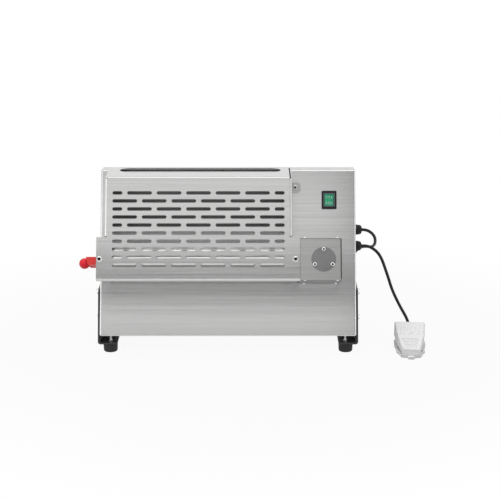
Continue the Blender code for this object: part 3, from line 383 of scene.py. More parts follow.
def placed(shape, place):
    """The mesh of a shape, moved to its place."""
    bmesh.ops.transform(shape, matrix=place, verts=shape.verts)
    mesh = bpy.data.meshes.new("shape")
    shape.to_mesh(mesh)
    shape.free()
    return mesh


def closed(shape, place):
    """The mesh of a closed shape, with its faces turned outwards."""
    bmesh.ops.remove_doubles(shape, verts=shape.verts, dist=0.001 * MM)
    bmesh.ops.recalc_face_normals(shape, faces=shape.faces)
    return placed(shape, place)


def band(shape, here, there):
    """Faces between two loops of the same number of corners."""
    count = len(here)
    for i in range(count):
        after = (i + 1) % count
        shape.faces.new((here[i], here[after], there[after], there[i]))


def circle_reach(_angle):
    return 1.0


def hex_reach(angle):
    """How far a hexagon with a flat radius of 1 reaches at an angle."""
    sixth = math.pi / 3
    return 1 / math.cos(angle % sixth - sixth / 2)


def ribbed_reach(ribs, depth):
    """A round outline with grooves along it."""
    return lambda angle: 1 - depth * (0.5 - 0.5 * math.cos(ribs * angle))


def rings(points, reach=circle_reach, start=0.0):
    """Rings of a spun profile, by radius and height in millimetres, counted from a start in metres."""
    return [(radius * MM, start + height * MM, reach) for radius, height in points]


def spun(profile, place, steps=32, lined=0):
    """A closed shape spun about local z from (radius, height, reach) points.

    The first lined strips take the piece's second material.
    """
    shape = bmesh.new()
    loops = []
    for radius, height, reach in profile:
        if radius == 0:
            loops.append([shape.verts.new((0, 0, height))])
            continue
        loop = []
        for step in range(steps):
            angle = 2 * math.pi * step / steps
            far = radius * reach(angle)
            loop.append(shape.verts.new((far * math.cos(angle), far * math.sin(angle), height)))
        loops.append(loop)
    for strip, (low, high) in enumerate(zip(loops, loops[1:])):
        for step in range(steps):
            corners = [low[step % len(low)], low[(step + 1) % len(low)]]
            corners += [high[(step + 1) % len(high)], high[step % len(high)]]
            face = shape.faces.new(list(dict.fromkeys(corners)))
            face.material_index = 1 if strip < lined else 0
    return closed(shape, place)


def prism(outline, low, high, place):
    """A flat outline from local z low to high."""
    shape = bmesh.new()
    bottom = [shape.verts.new((x, y, low)) for x, y in outline]
    top = [shape.verts.new((x, y, high)) for x, y in outline]
    shape.faces.new(bottom)
    shape.faces.new(top)
    band(shape, bottom, top)
    return closed(shape, place)


def frame_prism(outer, inner, low, high, place):
    """A flat frame between two outlines of the same number of points."""
    shape = bmesh.new()
    loops = []
    for outline, height in ((outer, low), (outer, high), (inner, high), (inner, low)):
        loops.append([shape.verts.new((x, y, height)) for x, y in outline])
    for here, there in zip(loops, loops[1:] + loops[:1]):
        band(shape, here, there)
    return closed(shape, place)


def arc(centre, radius, start, end, steps):
    angles = [start + (end - start) * i / steps for i in range(steps + 1)]
    return [(centre[0] + radius * math.cos(a), centre[1] + radius * math.sin(a)) for a in angles]


def rounded_rectangle(left, bottom, right, top, radius, steps=6):
    corners = [(right, top, 0), (left, top, 1), (left, bottom, 2), (right, bottom, 3)]
    made = []
    for x, y, quarter in corners:
        centre = (x - radius if x == right else x + radius, y - radius if y == top else y + radius)
        made += arc(centre, radius, quarter * QUARTER, (quarter + 1) * QUARTER, steps)
    return made


# Fasteners
TAB_FACE = 2.3 * MM


def socket_screw(name, radius, height, place, replaced=()):
    """A domed screw with a hexagon socket, standing on local z 0, its size in millimetres; the socket is
    near-black painted shade.
    """
    socket, low, brim = 0.52 * radius, 0.3 * height, 0.97 * height
    profile = rings([(0, low)]) + rings([(socket, low), (socket, brim)], hex_reach)
    profile += rings([(0.7 * radius, height), (0.88 * radius, 0.8 * height)])
    profile += rings([(radius, 0.3 * height), (radius, 0), (0, 0)])
    made = piece(name, spun(profile, place, 36, 2), "fastener_steel", replaced=replaced, edge=0)
    # The socket's faces take the near-black painted shade.
    made.data.materials.append(SOCKET_SHADE)


def guard_screws():
    """The screws in the guard's ears and in its tab."""
    for word, x in (("left", -283.3 * MM), ("right", 150.8 * MM)):
        node = f"{word}_guard_screw"
        socket_screw(f"{node}_head", 6.8, 4.2, on_panel(x, 165 * MM, GUARD_OFFSET + GAP), [node])
    socket_screw("guard_tab_screw", 5.2, 3.2, on_panel(153.5 * MM, 341 * MM, TAB_FACE))


def case_screws():
    """The screws of the gear case: on its disc, on its top and under its floor."""
    count, circle = 3, 22.6 * MM
    for i in range(count):
        angle = QUARTER + 2 * math.pi * i / count
        x = DISC_CENTRE[0] + circle * math.cos(angle)
        slope = DISC_CENTRE[1] + circle * math.sin(angle)
        socket_screw(f"disc_screw_{i}", 4.4, 2.4, on_panel(x, slope, DISC_FACE))
    for side, x in (("left", 172 * MM), ("right", 244 * MM)):
        seat = on_panel(x, CASE_TOP, 92 * MM) @ turn(-QUARTER, "X")
        socket_screw(f"case_top_screw_{side}", 4, 2.2, seat)
        for row, offset in (("front", 90 * MM), ("rear", 22 * MM)):
            seat = on_panel(x, CASE_BOTTOM, offset) @ turn(QUARTER, "X")
            socket_screw(f"case_floor_screw_{row}_{side}", 2.8, 1.6, seat)


def bracket_bolts():
    for side, word in SIDES:
        for height, z in (("upper", 126 * MM), ("lower", 65 * MM)):
            node = f"{word}_{height}_bracket_bolt"
            socket_screw(f"{node}_head", 7.5, 5.5, on_side(side, 70 * MM, z, BRACKET_OUTER + GAP), [node])


# Guard
BEND = 5 * MM
ROOF_REAR_BEND = 2 * MM
BEND_STEPS = 9
RELIEF = 2.4 * MM
LIP_LEFT, LIP_RIGHT, LIP_DEPTH = mm(-264, 150, 12)
TOP_LEFT, TOP_RIGHT = CHEEK_LEFT + 6 * MM, CHEEK_RIGHT - 5 * MM
TOP_REAR = PANEL_TOP_Y + 3 * MM
GUARD_TOP_FRONT = (GUARD_TOP_Z - PANEL_BOTTOM) * LEAN_TAN - GUARD_OFFSET / LEAN_COS
CHEEK_END = 0.8 * MM
MOUTH_CENTRE, MOUTH_STEPS = mm(-63, 104.5), 10
MOUTH_LENGTH, MOUTH_WIDTH = mm(365, 45)
SLOT_ROWS, EVEN_SLOTS, ODD_SLOTS = 10, 5, 6
FIRST_SLOPE, ROW_PITCH = mm(313, 18)
SLOT_LENGTH, SLOT_HEIGHT, SLOT_PITCH = mm(54.8, 7.6, 65.5)
SHORT_SLOT, SLOT_MIDDLE = mm(22, -64.3)


class Skin:
    """The outer face of a bent sheet, made of polygons that share their corners."""

    def __init__(self):
        self.shape = bmesh.new()
        self.found = {}

    def corner(self, point):
        key = tuple(round(value / (0.01 * MM)) for value in point)
        if key not in self.found:
            self.found[key] = self.shape.verts.new(point)
        return self.found[key]

    def face(self, points):
        corners = list(dict.fromkeys(self.corner(point) for point in points))
        self.shape.faces.new(corners)

    def fold(self, edge, lines):
        """Strips from a straight edge over a bend: lines gives the points of each next line."""
        before = list(edge)
        for line in lines:
            self.face(before + list(reversed(line)))
            before = list(line)

    def mesh(self, place, out=(0, 0, 1)):
        """The skin with its faces turned so that the one that lies farthest out looks out."""
        shape = self.shape
        bmesh.ops.recalc_face_normals(shape, faces=shape.faces)
        outer = max(shape.faces, key=lambda face: face.calc_center_median().dot(Vector(out)))
        if outer.normal.dot(Vector(out)) < 0:
            bmesh.ops.reverse_faces(shape, faces=shape.faces)
        return placed(shape, place)


def bend_steps(radius, sweep=QUARTER):
    """How far along and how far down each line of a bend lies from the bend's start."""
    angles = [sweep * step / BEND_STEPS for step in range(1, BEND_STEPS + 1)]
    return [(radius * math.sin(angle), radius * (1 - math.cos(angle))) for angle in angles]


def slot_rows():
    """The slope of each row and the (middle, length) of its slots, from left to right.

    The even rows, counted from 0, have a short slot at each end.
    """
    reach = EVEN_SLOTS / 2 * SLOT_PITCH + (SLOT_LENGTH - SHORT_SLOT) / 2
    rows = []
    for row in range(SLOT_ROWS):
        count = ODD_SLOTS if row % 2 else EVEN_SLOTS
        slots = [(SLOT_MIDDLE + (i - (count - 1) / 2) * SLOT_PITCH, SLOT_LENGTH) for i in range(count)]
        if not row % 2:
            slots = [(SLOT_MIDDLE - reach, SHORT_SLOT)] + slots + [(SLOT_MIDDLE + reach, SHORT_SLOT)]
        rows.append((FIRST_SLOPE - row * ROW_PITCH, slots))
    return rows


def slot_half(middle, slope, length, upper):
    """Half of a slot's edge: the upper one from left to right, the lower one from right to left."""
    reach, radius, steps = (length - SLOT_HEIGHT) / 2, SLOT_HEIGHT / 2, 6
    if upper:
        first = arc((middle - reach, slope), radius, math.pi, QUARTER, steps)
        return first + arc((middle + reach, slope), radius, QUARTER, 0, steps)
    first = arc((middle + reach, slope), radius, 0, -QUARTER, steps)
    return first + arc((middle - reach, slope), radius, -QUARTER, -math.pi, steps)


def slot_grid(rows, left, right):
    """The edges of each row's cells, the lines between the rows, and the points that each line needs."""
    cells = []
    for _slope, slots in rows:
        ends = [(middle - length / 2, middle + length / 2) for middle, length in slots]
        joins = [(here[1] + there[0]) / 2 for here, there in zip(ends, ends[1:])]
        cells.append([left] + joins + [right])
    lines = [rows[0][0] + ROW_PITCH / 2 - i * ROW_PITCH for i in range(SLOT_ROWS + 1)]
    around = [cells[0]] + cells + [cells[-1]]
    return cells, lines, [sorted({*above, *below}) for above, below in zip(around, around[1:])]


def guard_face(skin, left, right, bottom, top):
    """The slotted face, in cells of one slot each, with the ears and the plain margins.

    Returns the heights of the points on the edges that the cheeks bend from.
    """
    rows = slot_rows()
    cells, lines, line_points = slot_grid(rows, left, right)
    steps = [EAR_TOP, EAR_TOP + RELIEF]

    def flat(points):
        skin.face([(x, y, GUARD_OFFSET) for x, y in points])

    def rising(x, low, high):
        inside = [y for y in steps if low < y < high] if x in (left, right) else []
        return [(x, y) for y in inside]

    for row, (slope, slots) in enumerate(rows):
        above, below = lines[row], lines[row + 1]
        for i, (middle, length) in enumerate(slots):
            start, end = cells[row][i], cells[row][i + 1]
            roof = [(x, above) for x in reversed(line_points[row]) if start <= x <= end]
            floor = [(x, below) for x in line_points[row + 1] if start <= x <= end]
            upper = [(start, slope)] + slot_half(middle, slope, length, True) + [(end, slope)]
            flat(upper + rising(end, slope, above) + roof + rising(start, slope, above)[::-1])
            lower = [(end, slope)] + slot_half(middle, slope, length, False) + [(start, slope)]
            flat(floor + rising(end, below, slope) + lower + rising(start, below, slope)[::-1])
    margin = [(x, lines[0]) for x in line_points[0]]
    flat(margin + [(right, top), (TOP_RIGHT, top), (TOP_LEFT, top), (left, top)])
    flat([(left, bottom), (right, bottom)] + [(x, lines[-1]) for x in reversed(line_points[-1])])
    levels = sorted(lines + [slope for slope, _slots in rows])
    low = [bottom] + [y for y in levels if bottom < y < EAR_TOP] + [EAR_TOP]
    for edge, far in ((left, EAR_LEFT), (right, EAR_RIGHT)):
        flat([(edge, y) for y in low] + [(far, EAR_TOP), (far, bottom)])
    return [EAR_TOP + RELIEF] + [y for y in levels if y > EAR_TOP + RELIEF] + [top]


def guard_cheek(skin, edge_x, cheek_x, heights):
    """One side of the guard, bent back to the panel and cut level under the top sheet."""
    base, top = heights[0], heights[-1]
    outwards = 1 if cheek_x > edge_x else -1

    def ends(x, offset):
        return [(x, base, offset), (x, top + (GUARD_OFFSET - offset) * LEAN_TAN, offset)]

    lines = [ends(edge_x + outwards * along, GUARD_OFFSET - down) for along, down in bend_steps(BEND)]
    lines.append(ends(cheek_x, CHEEK_END))
    skin.fold([(edge_x, y, GUARD_OFFSET) for y in heights], lines)


def guard_lip(skin, left, right, bottom):
    """The lower edge, bent back under the rollers."""
    lines = []
    for along, down in bend_steps(BEND):
        lines.append([(x, bottom - along, GUARD_OFFSET - down) for x in (EAR_LEFT, EAR_RIGHT)])
    middle, back = GUARD_OFFSET - BEND, GUARD_OFFSET - LIP_DEPTH
    lines[-1] = [(x, EAR_BOTTOM, middle) for x in (EAR_LEFT, LIP_LEFT, LIP_RIGHT, EAR_RIGHT)]
    skin.fold([(x, bottom, GUARD_OFFSET) for x in (EAR_LEFT, left, right, EAR_RIGHT)], lines)
    corners = ((LIP_LEFT, middle), (LIP_RIGHT, middle), (LIP_RIGHT, back), (LIP_LEFT, back))
    skin.face([(x, EAR_BOTTOM, offset) for x, offset in corners])


def guard_roof(skin, top):
    """The level top with the feed mouth, bent from the face and turned down onto the cabinet's roof."""
    ends = (TOP_LEFT, TOP_RIGHT)
    lines = []
    for along, down in bend_steps(BEND, QUARTER - PANEL_LEAN):
        lines.append([(x, top + along, GUARD_OFFSET - down) for x in ends])
    skin.fold([(x, top, GUARD_OFFSET) for x in ends], lines)
    start_y, start_offset = lines[-1][0][1:]
    front = start_y * LEAN_SIN - start_offset * LEAN_COS

    def level(x, back, drop=0.0):
        """A point of the level sheet, by its distance back from the bend and below its top face."""
        y = start_y + back * LEAN_SIN - drop * LEAN_COS
        return x, y, start_offset - back * LEAN_COS - drop * LEAN_SIN

    def quarter(end, start, finish):
        return arc(end, half, start, finish, MOUTH_STEPS)

    half = MOUTH_WIDTH / 2
    reach = MOUTH_LENGTH / 2 - half
    centre, rear = MOUTH_CENTRE[1] - front, TOP_REAR - front
    left_end, right_end = (MOUTH_CENTRE[0] - reach, centre), (MOUTH_CENTRE[0] + reach, centre)
    near = quarter(right_end, 0, -QUARTER) + quarter(left_end, -QUARTER, -math.pi)
    far = quarter(left_end, math.pi, QUARTER) + quarter(right_end, QUARTER, 0)
    front_half = [(TOP_LEFT, 0), (TOP_RIGHT, 0), (TOP_RIGHT, centre)] + near + [(TOP_LEFT, centre)]
    rear_half = [(TOP_LEFT, centre)] + far + [(TOP_RIGHT, centre), (TOP_RIGHT, rear), (TOP_LEFT, rear)]
    for outline in (front_half, rear_half):
        skin.face([level(*point) for point in outline])
    lines = []
    for along, down in bend_steps(ROOF_REAR_BEND):
        lines.append([level(x, rear + along, down) for x in ends])
    lines.append([level(x, rear + ROOF_REAR_BEND, GUARD_TOP_Z - ROOF_Z - GAP) for x in ends])
    skin.fold([level(x, rear) for x in ends], lines)


def guard():
    """The guard with its slots, cheeks, lip and top, bent from one sheet."""
    left, right = CHEEK_LEFT + BEND, CHEEK_RIGHT - BEND
    bottom = EAR_BOTTOM + BEND
    top = (GUARD_TOP_Z - PANEL_BOTTOM - BEND - (GUARD_OFFSET - BEND) * LEAN_SIN) / LEAN_COS
    skin = Skin()
    heights = guard_face(skin, left, right, bottom, top)
    guard_cheek(skin, left, CHEEK_LEFT, heights)
    guard_cheek(skin, right, CHEEK_RIGHT, heights)
    guard_lip(skin, left, right, bottom)
    guard_roof(skin, top)
    replaced = ["slotted_guard", "guard_top"]
    made = piece("guard_sheet", skin.mesh(PANEL), "brushed_steel", replaced=replaced)
    # The inner face takes the darker copy of the steel, as painted shade.
    thicken(made, SHEET).material_offset = 1
    made.data.materials.append(SHADED_INNER_STEEL)
    round_edges(made, 0.3 * MM)


def guard_tab():
    outline = rounded_rectangle(CHEEK_RIGHT - 4 * MM, *mm(328.5, 165.5, 353, 8))
    # The tab, bent from the guard's sheet, takes the darker case steel as painted shade.
    piece("guard_tab", prism(outline, 0.6 * MM, TAB_FACE, PANEL), "case_steel", edge=0.4 * MM)


def painted_slot_backing():
    """A dark sheet of painted shade on the panel behind the slots, and a pale strip of painted highlight
    along its foot.
    """
    face = 1.8 * MM
    shade_sheet = prism(rounded_rectangle(*mm(-270.3, 221, 140.7, 368, 4)), GAP, face, PANEL)
    piece("painted_slot_backing", shade_sheet, "black_plastic", finish=BACKING_SHADE_GREY, edge=0.3 * MM)
    # The pale strip along its foot is a painted highlight.
    strip = prism(rounded_rectangle(*mm(-268, 214, 138.4, 238, 1.5)), face, 3.2 * MM, PANEL)
    piece("painted_highlight_strip", strip, "pedal_white", edge=0.4 * MM)


def corner_weld_and_shade():
    """What closes the gaps beside the guard's top sheet: a weld on the left, and on the right a dark strip of
    painted shade.
    """
    front, rear = GUARD_TOP_FRONT + 2 * MM, TOP_REAR - 4 * MM
    free, depth = mm(0.2, 3)
    inner = SHEET + free
    closers = {
        "left_corner_weld": (CHEEK_LEFT + inner, TOP_LEFT - free, 0.7 * MM, "brushed_steel"),
        # The right one is a dark strip of painted shade in the gap.
        "right_corner_shade": (TOP_RIGHT + free, CHEEK_RIGHT - inner, 1.2 * MM, "foot_rubber"),
    }
    for name, (left, right, drop, slot) in closers.items():
        height = GUARD_TOP_Z - drop
        outline = rounded_rectangle(left, front, right, rear, MM)
        piece(name, prism(outline, height - depth, height, PLACE), slot, edge=0.4 * MM)


# Knob, switch, glands
def knob():
    """The ball with its stem and the pin that it pulls, in millimetres."""
    radius, centre, stem, pin = 12, -317.5, 3.5, 2.3
    stem_end, pin_start, pin_end = -292, -289.9, -286.3
    neck = math.asin(stem / radius)
    steps = 28
    ball = [(0, centre - radius)]
    for i in range(1, steps + 1):
        angle = math.pi - (math.pi - neck) * i / steps
        ball.append((radius * math.sin(angle), centre + radius * math.cos(angle)))
    shaft = [(stem, stem_end), (pin, pin_start), (pin, pin_end), (0, pin_end)]
    place = BAY @ shift(-KNOB_PLACE[0], KNOB_PLACE[1], 0)
    piece("knob_ball", spun(rings(ball + shaft), place, 48), "knob_red", "index_knob", ["index_knob"], edge=0)


# Bars of painted reflection on the rocker's lens, and the heights they stand at.
REFLECTION_BARS = [(-5.6, 4, 9.4), (0, 4, 9.4), (5.6, 4, 9.4), (-6.6, -9.4, -3.8), (6.6, -9.4, -3.8)]
REFLECTION_FACES = mm(2.4, 4.2)


def rocker():
    """The rocker's lens, with a hollow top."""
    reach, rim, dip, steps = 12.8, 4.6, 2.0, 6
    top = [(reach * (1 - i / steps), rim - dip * math.sin(QUARTER * i / steps)) for i in range(steps)]
    hull = [(-12.6, -3), (0, -8), (12.6, -3)]
    profile = top + [(0, rim - dip)] + [(-y, z) for y, z in reversed(top)] + hull
    place = on_panel(*SWITCH_CENTRE, 0) @ turn(ROCKER_TILT, "X") @ SIDEWAYS
    lens = prism(in_mm(profile), *mm(-10.5, 10.5), place)
    piece("rocker_lens", lens, "lens_green", "switch_rocker", ["switch_rocker"], edge=0.6 * MM, segments=3)


def rocker_reflections():
    """Painted reflections on the rocker's lens: bars and a ring, without letters."""
    tilt = on_panel(*SWITCH_CENTRE, 0) @ turn(ROCKER_TILT, "X")
    reflections = {}
    for i, (x, low, high) in enumerate(REFLECTION_BARS):
        bar = rounded_rectangle(*mm(x - 0.7, low, x + 0.7, high, 0.5), 3)
        reflections[f"rocker_bar_{i}"] = prism(bar, *REFLECTION_FACES, tilt)
    points = 24
    last = 2 * math.pi * (points - 1) / points
    outer, inner = (arc((0, -6.6 * MM), radius, 0, last, points - 1) for radius in mm(3.2, 2.1))
    reflections["rocker_ring"] = frame_prism(outer, inner, *REFLECTION_FACES, tilt)
    for name, mesh in reflections.items():
        piece(name, mesh, "pedal_white", "switch_rocker", finish=REFLECTION_GREEN)


def switch_ring():
    outer = rounded_rectangle(*mm(-12.9, -15.6, 12.9, 15.6, 1.6))
    inner = rounded_rectangle(*mm(-11, -13.4, 11, 13.4, 0.6))
    rim = frame_prism(outer, inner, *mm(3.4, 4.7), on_panel(*SWITCH_CENTRE, 0))
    piece("switch_ring", rim, "black_plastic", finish=RING_GREY, edge=0.3 * MM)


def glands():
    """Cable glands: a collar against the wall, a ribbed body and a ribbed domed cap."""
    wall = HALF_WIDTH + 0.2 * MM
    ribs = ribbed_reach(16, 0.06)
    profile = rings([(0, 0), (5.2, 0), (7.8, -0.9)], start=GLAND_END)
    profile += rings([(9.8, -2.4), (11, -4.6), (11.6, -7.2)], ribs, GLAND_END)
    profile += rings([(10.4, -7.4), (10.4, -8.2)], start=GLAND_END)
    profile += rings([(11.8, -8.6)], ribs, GLAND_END) + rings([(11.9, 4.2)], ribs, wall)
    profile += rings([(11, 3.8), (11, 0), (8, 0), (8, -12), (0, -12)], start=wall)
    for node, z in GLAND_HEIGHTS.items():
        body = spun(profile, SIDE @ shift(GLAND_Y, z, 0), 96)
        piece(f"{node}_body", body, "black_plastic", replaced=[node], edge=0)


def case_gap_shade():
    """A dark strip of painted shade in the gap between the gear case and its cover, along the right side and
    the top.
    """
    width = 0.9 * MM
    foot, low = CASE_BOTTOM + 3 * MM, GUARD_OFFSET - 2.9 * MM
    left, right, outer = CASE_LEFT + MM, CASE_RIGHT - 2.5 * MM, CASE_RIGHT - 0.4 * MM
    top = CASE_TOP - 3.1 * MM
    corners = [(outer, foot), (outer, top + width), (left, top + width)]
    corners += [(left, top), (right, top), (right, foot)]
    # The strip is near-black rubber: painted shade in the gap.
    piece("case_gap_shade", prism(corners, low, low + width, PANEL), "foot_rubber", edge=0.2 * MM)


# Rear and side details
TRIM = 0.9 * MM


def rear_edge(z):
    """How far back the rear cover's face is at a height."""
    return BODY_DEPTH - (z - PANEL_BOTTOM) * math.tan(REAR_LEAN)


def edge_trims():
    """Thin strips that cover the joint between each side panel and the rear cover."""
    low, high = 143 * MM, ROOF_Z - 6 * MM
    inset, width = mm(1.2, 15)
    corners = ((inset, low), (inset, high), (width, high), (width, low))
    outline = [(rear_edge(z) - back, z) for back, z in corners]
    for side, word in SIDES:
        faces = sorted((side * (HALF_WIDTH + 0.1 * MM), side * (HALF_WIDTH + TRIM)))
        strip = prism(outline, *faces, SIDE)
        piece(f"{word}_edge_trim", strip, "brushed_steel", finish=SIDE_STEEL, edge=0.3 * MM)


def cover_screws():
    """Flat screws that hold the side panels to the returns of the front panel and the rear cover."""
    inset = 8 * MM
    for side, word in SIDES:
        for i, z in enumerate(mm(175, 270, 365)):
            front = (z - PANEL_BOTTOM) * LEAN_TAN + inset
            for row, y, lift in (("front", front, 0), ("rear", rear_edge(z) - inset, TRIM)):
                seat = on_side(side, y, z, HALF_WIDTH + lift)
                socket_screw(f"{word}_{row}_cover_screw_{i}", 3.6, 0.7, seat)
        for row, up in (("low", 22 * MM), ("high", 335 * MM)):
            socket_screw(f"{word}_{row}_rear_screw", 4, 1.6, REAR @ shift(side * 278 * MM, up, 0))


def louvres():
    """Two groups of pressed vents in the rear cover."""
    length, height, depth = mm(84, 11, 4.4)
    lowest, pitch, count = 120 * MM, 21 * MM, 7
    steps = 8
    hood = [(height * i / steps, depth * math.cos(QUARTER * i / steps) ** 0.6) for i in range(steps)]
    profile = [(0, -GAP), (height, -GAP), (height, 0)] + hood[::-1]
    for column, x in enumerate(mm(-130, 130)):
        for row in range(count):
            seat = REAR @ shift(x, lowest + row * pitch, 0) @ SIDEWAYS
            vent = prism(profile, -length / 2, length / 2, seat)
            piece(f"louvre_{column}_{row}", vent, "brushed_steel", edge=0.8 * MM, segments=3)


# Feet
FOOT_PLACES = {
    f"{place}_{word}_foot": (side * 268 * MM, y)
    for side, word in SIDES
    for place, y in (("front", 21 * MM), ("rear", 266 * MM))
}


def feet():
    """Rubber feet with a fine fluting and a worn lower edge."""
    profile = rings([(0, 19.5), (15.8, 19.5), (16.6, 18.9), (16.6, 17)])
    profile += rings([(16.4, 16.6), (15.8, 4)], ribbed_reach(30, 0.02))
    profile += rings([(15.4, 1.6), (14, 0), (0, 0)])
    for node, place in FOOT_PLACES.items():
        pad = spun(profile, PLACE @ shift(*place, 0), 120)
        piece(f"{node}_pad", pad, "foot_rubber", replaced=[node], edge=0)


def brackets():
    """The black side brackets, bent from sheet with a rounded corner above the feet."""
    radius, steps = 6 * MM, 6
    flange_end, low, top = mm(251, 19.8, 139)
    front, rear = 3 * MM, BODY_DEPTH - 3 * MM
    front_lean, rear_lean = 38 * MM / (top - low), 34 * MM / (top - low)
    for side, word in SIDES:

        def line(x, z):
            rise = z - low
            return [(side * x, front + rise * front_lean, z), (side * x, rear - rise * rear_lean, z)]

        corner = arc((BRACKET_OUTER - radius, low + radius), radius, -QUARTER, 0, steps)
        skin = Skin()
        skin.fold(line(flange_end, low), [line(*point) for point in corner] + [line(BRACKET_OUTER, top)])
        mesh = skin.mesh(PLACE, (side, 0, 0))
        replaced = [f"{word}_foot_bracket"]
        made = piece(f"{word}_bracket_sheet", mesh, "bracket_black", replaced=replaced)
        thicken(made, 4 * MM)
        round_edges(made, 0.8 * MM)


def foot_studs():
    """The threaded stud and the thin nut that hold each foot to its bracket, in millimetres."""
    shelf, tip = 23.8, 37.5
    core, crest, pitch, turns = 2.6, 3, 1.25, 8
    nut, nut_height = 4.6, 2.4
    profile = rings([(0, tip), (core, tip)])
    for i in range(turns):
        top = tip - i * pitch
        profile += rings([(crest, top - pitch / 2), (core, top - pitch)])
    profile += rings([(nut, shelf + nut_height), (nut, shelf)], hex_reach) + rings([(0, shelf)])
    for node, place in FOOT_PLACES.items():
        piece(f"{node}_stud", spun(profile, PLACE @ shift(*place, 0), 36), "fastener_steel", edge=0)


# Pedal
def treadle_plane(end):
    """A frame on the treadle's top, from its bend towards the front or the rear end."""
    lean = math.atan2(abs(end[1] - TREADLE_BEND[1]), abs(end[0] - TREADLE_BEND[0]))
    return PEDAL @ shift(0, *TREADLE_BEND) @ turn(lean, "X")


def treadle_grips():
    """Ribs across the front of the treadle, shorter towards its end, and flutes along its rear."""
    ribs, rib_pitch, rib_taper = 6, 6.2, 1.35
    flutes, flute_pitch = 7, 7
    grips = {}
    for i in range(ribs):
        y, half = -10 - rib_pitch * i, 19.5 - rib_taper * i
        grips[f"treadle_rib_{i}"] = (TREADLE_FRONT, (-half, y - 1.3, half, y + 1.3, 1.2), 0.6 * MM)
    for i in range(flutes):
        x = (i - (flutes - 1) / 2) * flute_pitch
        grips[f"treadle_flute_{i}"] = (TREADLE_REAR, (x - 1.6, 8, x + 1.6, 40, 1.5), 0.4 * MM)
    for name, (end, box, edge) in grips.items():
        grip = prism(rounded_rectangle(*mm(*box)), *mm(-0.8, 0.9), treadle_plane(end))
        piece(name, grip, "pedal_white", "pedal_treadle", edge=edge, segments=3)


def treadle_front():
    """The treadle's front plate, which leans out to the front edge of the base."""
    outline = in_mm([(-52.5, 5.4), (-52.5, 18.2), (-55, 18.4), (-59.2, 5.4)])
    plate = prism(outline, *mm(-20.6, 20.6), PEDAL @ SIDEWAYS)
    piece("treadle_front", plate, "pedal_white", "pedal_treadle", edge=0.8 * MM, segments=3)


def pedal_lugs():
    """The lugs with screws at the sides of the base, and the eye in its front lug."""
    height = 5.2
    lug = rings([(0, height), (3.6, height), (4.2, 4.6), (4.2, 0.2), (0, 0.2)])
    for side, word in SIDES:
        seat = PEDAL @ shift(*mm(side * 28.2, -25, 0))
        piece(f"pedal_{word}_lug", spun(lug, seat), "pedal_white", edge=0)
        socket_screw(f"pedal_{word}_screw", 2.4, 1.4, seat @ shift(0, 0, height * MM))
    eye = rings([(2.4, 5), (2.6, 6.4), (5.6, 6.4), (6.4, 5.6), (6.4, 0.2), (2.4, 0.2), (2.4, 5)])
    piece("pedal_lug_eye", spun(eye, PEDAL @ shift(0, -66 * MM, 0)), "pedal_white", edge=0)


def round_piece(name, points, radius, slot, body="machine", replaced=()):
    """A round cord or wire along the points."""
    curve = bpy.data.curves.new(name, "CURVE")
    curve.dimensions = "3D"
    curve.bevel_depth = radius
    curve.bevel_resolution = 5
    curve.use_fill_caps = True
    spline = curve.splines.new("POLY")
    spline.points.add(len(points) - 1)
    for point, place in zip(spline.points, points):
        point.co = (*place, 1)
    spline.use_smooth = True
    return piece(name, curve, slot, body, replaced)


def pedal_springs():
    """The pedal's spring in two parts, so that the upper one goes down into the lower one."""
    middle, wire = mm(25, 0.8)
    turns, steps = 4, 24
    halves = {
        "pedal_spring_low": (*mm(7, 6.5, 22), "machine", ["pedal_spring"]),
        "pedal_spring_high": (*mm(4.4, 19, 37), "pedal_treadle", []),
    }
    for name, (radius, low, high, body, replaced) in halves.items():
        points = []
        for i in range(turns * steps + 1):
            angle = 2 * math.pi * i / steps
            height = low + (high - low) * i / (turns * steps)
            x, y = radius * math.cos(angle), middle + radius * math.sin(angle)
            points.append(PEDAL @ Vector((x, y, height)))
        round_piece(name, points, wire, "fastener_steel", body, replaced)


# Cords, by the points in millimetres that their routes go through
PEDAL_ROUTE = [
    (309.2, 150, 213.7),
    (318, 150, 213.6),
    (329, 150, 211.2),
    (339.5, 149.5, 205),
    (349.9, 149, 194.9),
    (358.3, 148.5, 180.2),
    (366.6, 148, 158.2),
    (374.4, 148, 135.7),
    (381.9, 149, 113),
    (391.7, 151, 90),
    (403.2, 153, 66.8),
    (412, 153.5, 51),
    (418.6, 152, 39),
    (422.8, 147.6, 28.4),
    (424.9, 139.4, 19.2),
    (424.8, 129, 13.3),
    (423, 118.8, 11.1),
    (421.6, 112.2, 11),
]
MAINS_ROUTE = [
    (309.2, 150, 252.6),
    (319.3, 150.2, 251.5),
    (327, 151, 248.3),
    (333.6, 152.8, 243.2),
    (338.7, 155.8, 236.6),
    (341.9, 160.8, 228.9),
    (343.2, 168.4, 220.6),
    (343.1, 179, 211.7),
    (341.3, 194, 203),
    (336.7, 218, 194),
    (328.6, 244, 188),
    (317.7, 268, 180),
    (306, 291, 163),
    (296, 309, 134),
    (287, 317, 94),
    (274, 318, 55),
    (253, 315, 25),
    (224, 311.5, 9),
    (192, 309.6, 5),
    (172, 309.05, 5),
    (157.3, 309, 5),
]
MAINS_LENGTH = 1.8
ROUTE_STEP = 4 * MM
FINE_STEPS = 20
COIL_POINTS_PER_TURN = 48
COIL_TAIL = 18 * MM


def in_world(x, y, z):
    return PLACE @ Vector((x, y, z))


def blend_point(t, knots, four):
    """A point of the centripetal Catmull-Rom curve between the middle two of four points."""
    level = list(four)
    for starts, width in (((0, 1, 2), 1), ((0, 1), 2), ((1,), 1)):
        shares = [(t - knots[start]) / (knots[start + width] - knots[start]) for start in starts]
        level = [here.lerp(there, share) for here, there, share in zip(level, level[1:], shares)]
    return level[0]


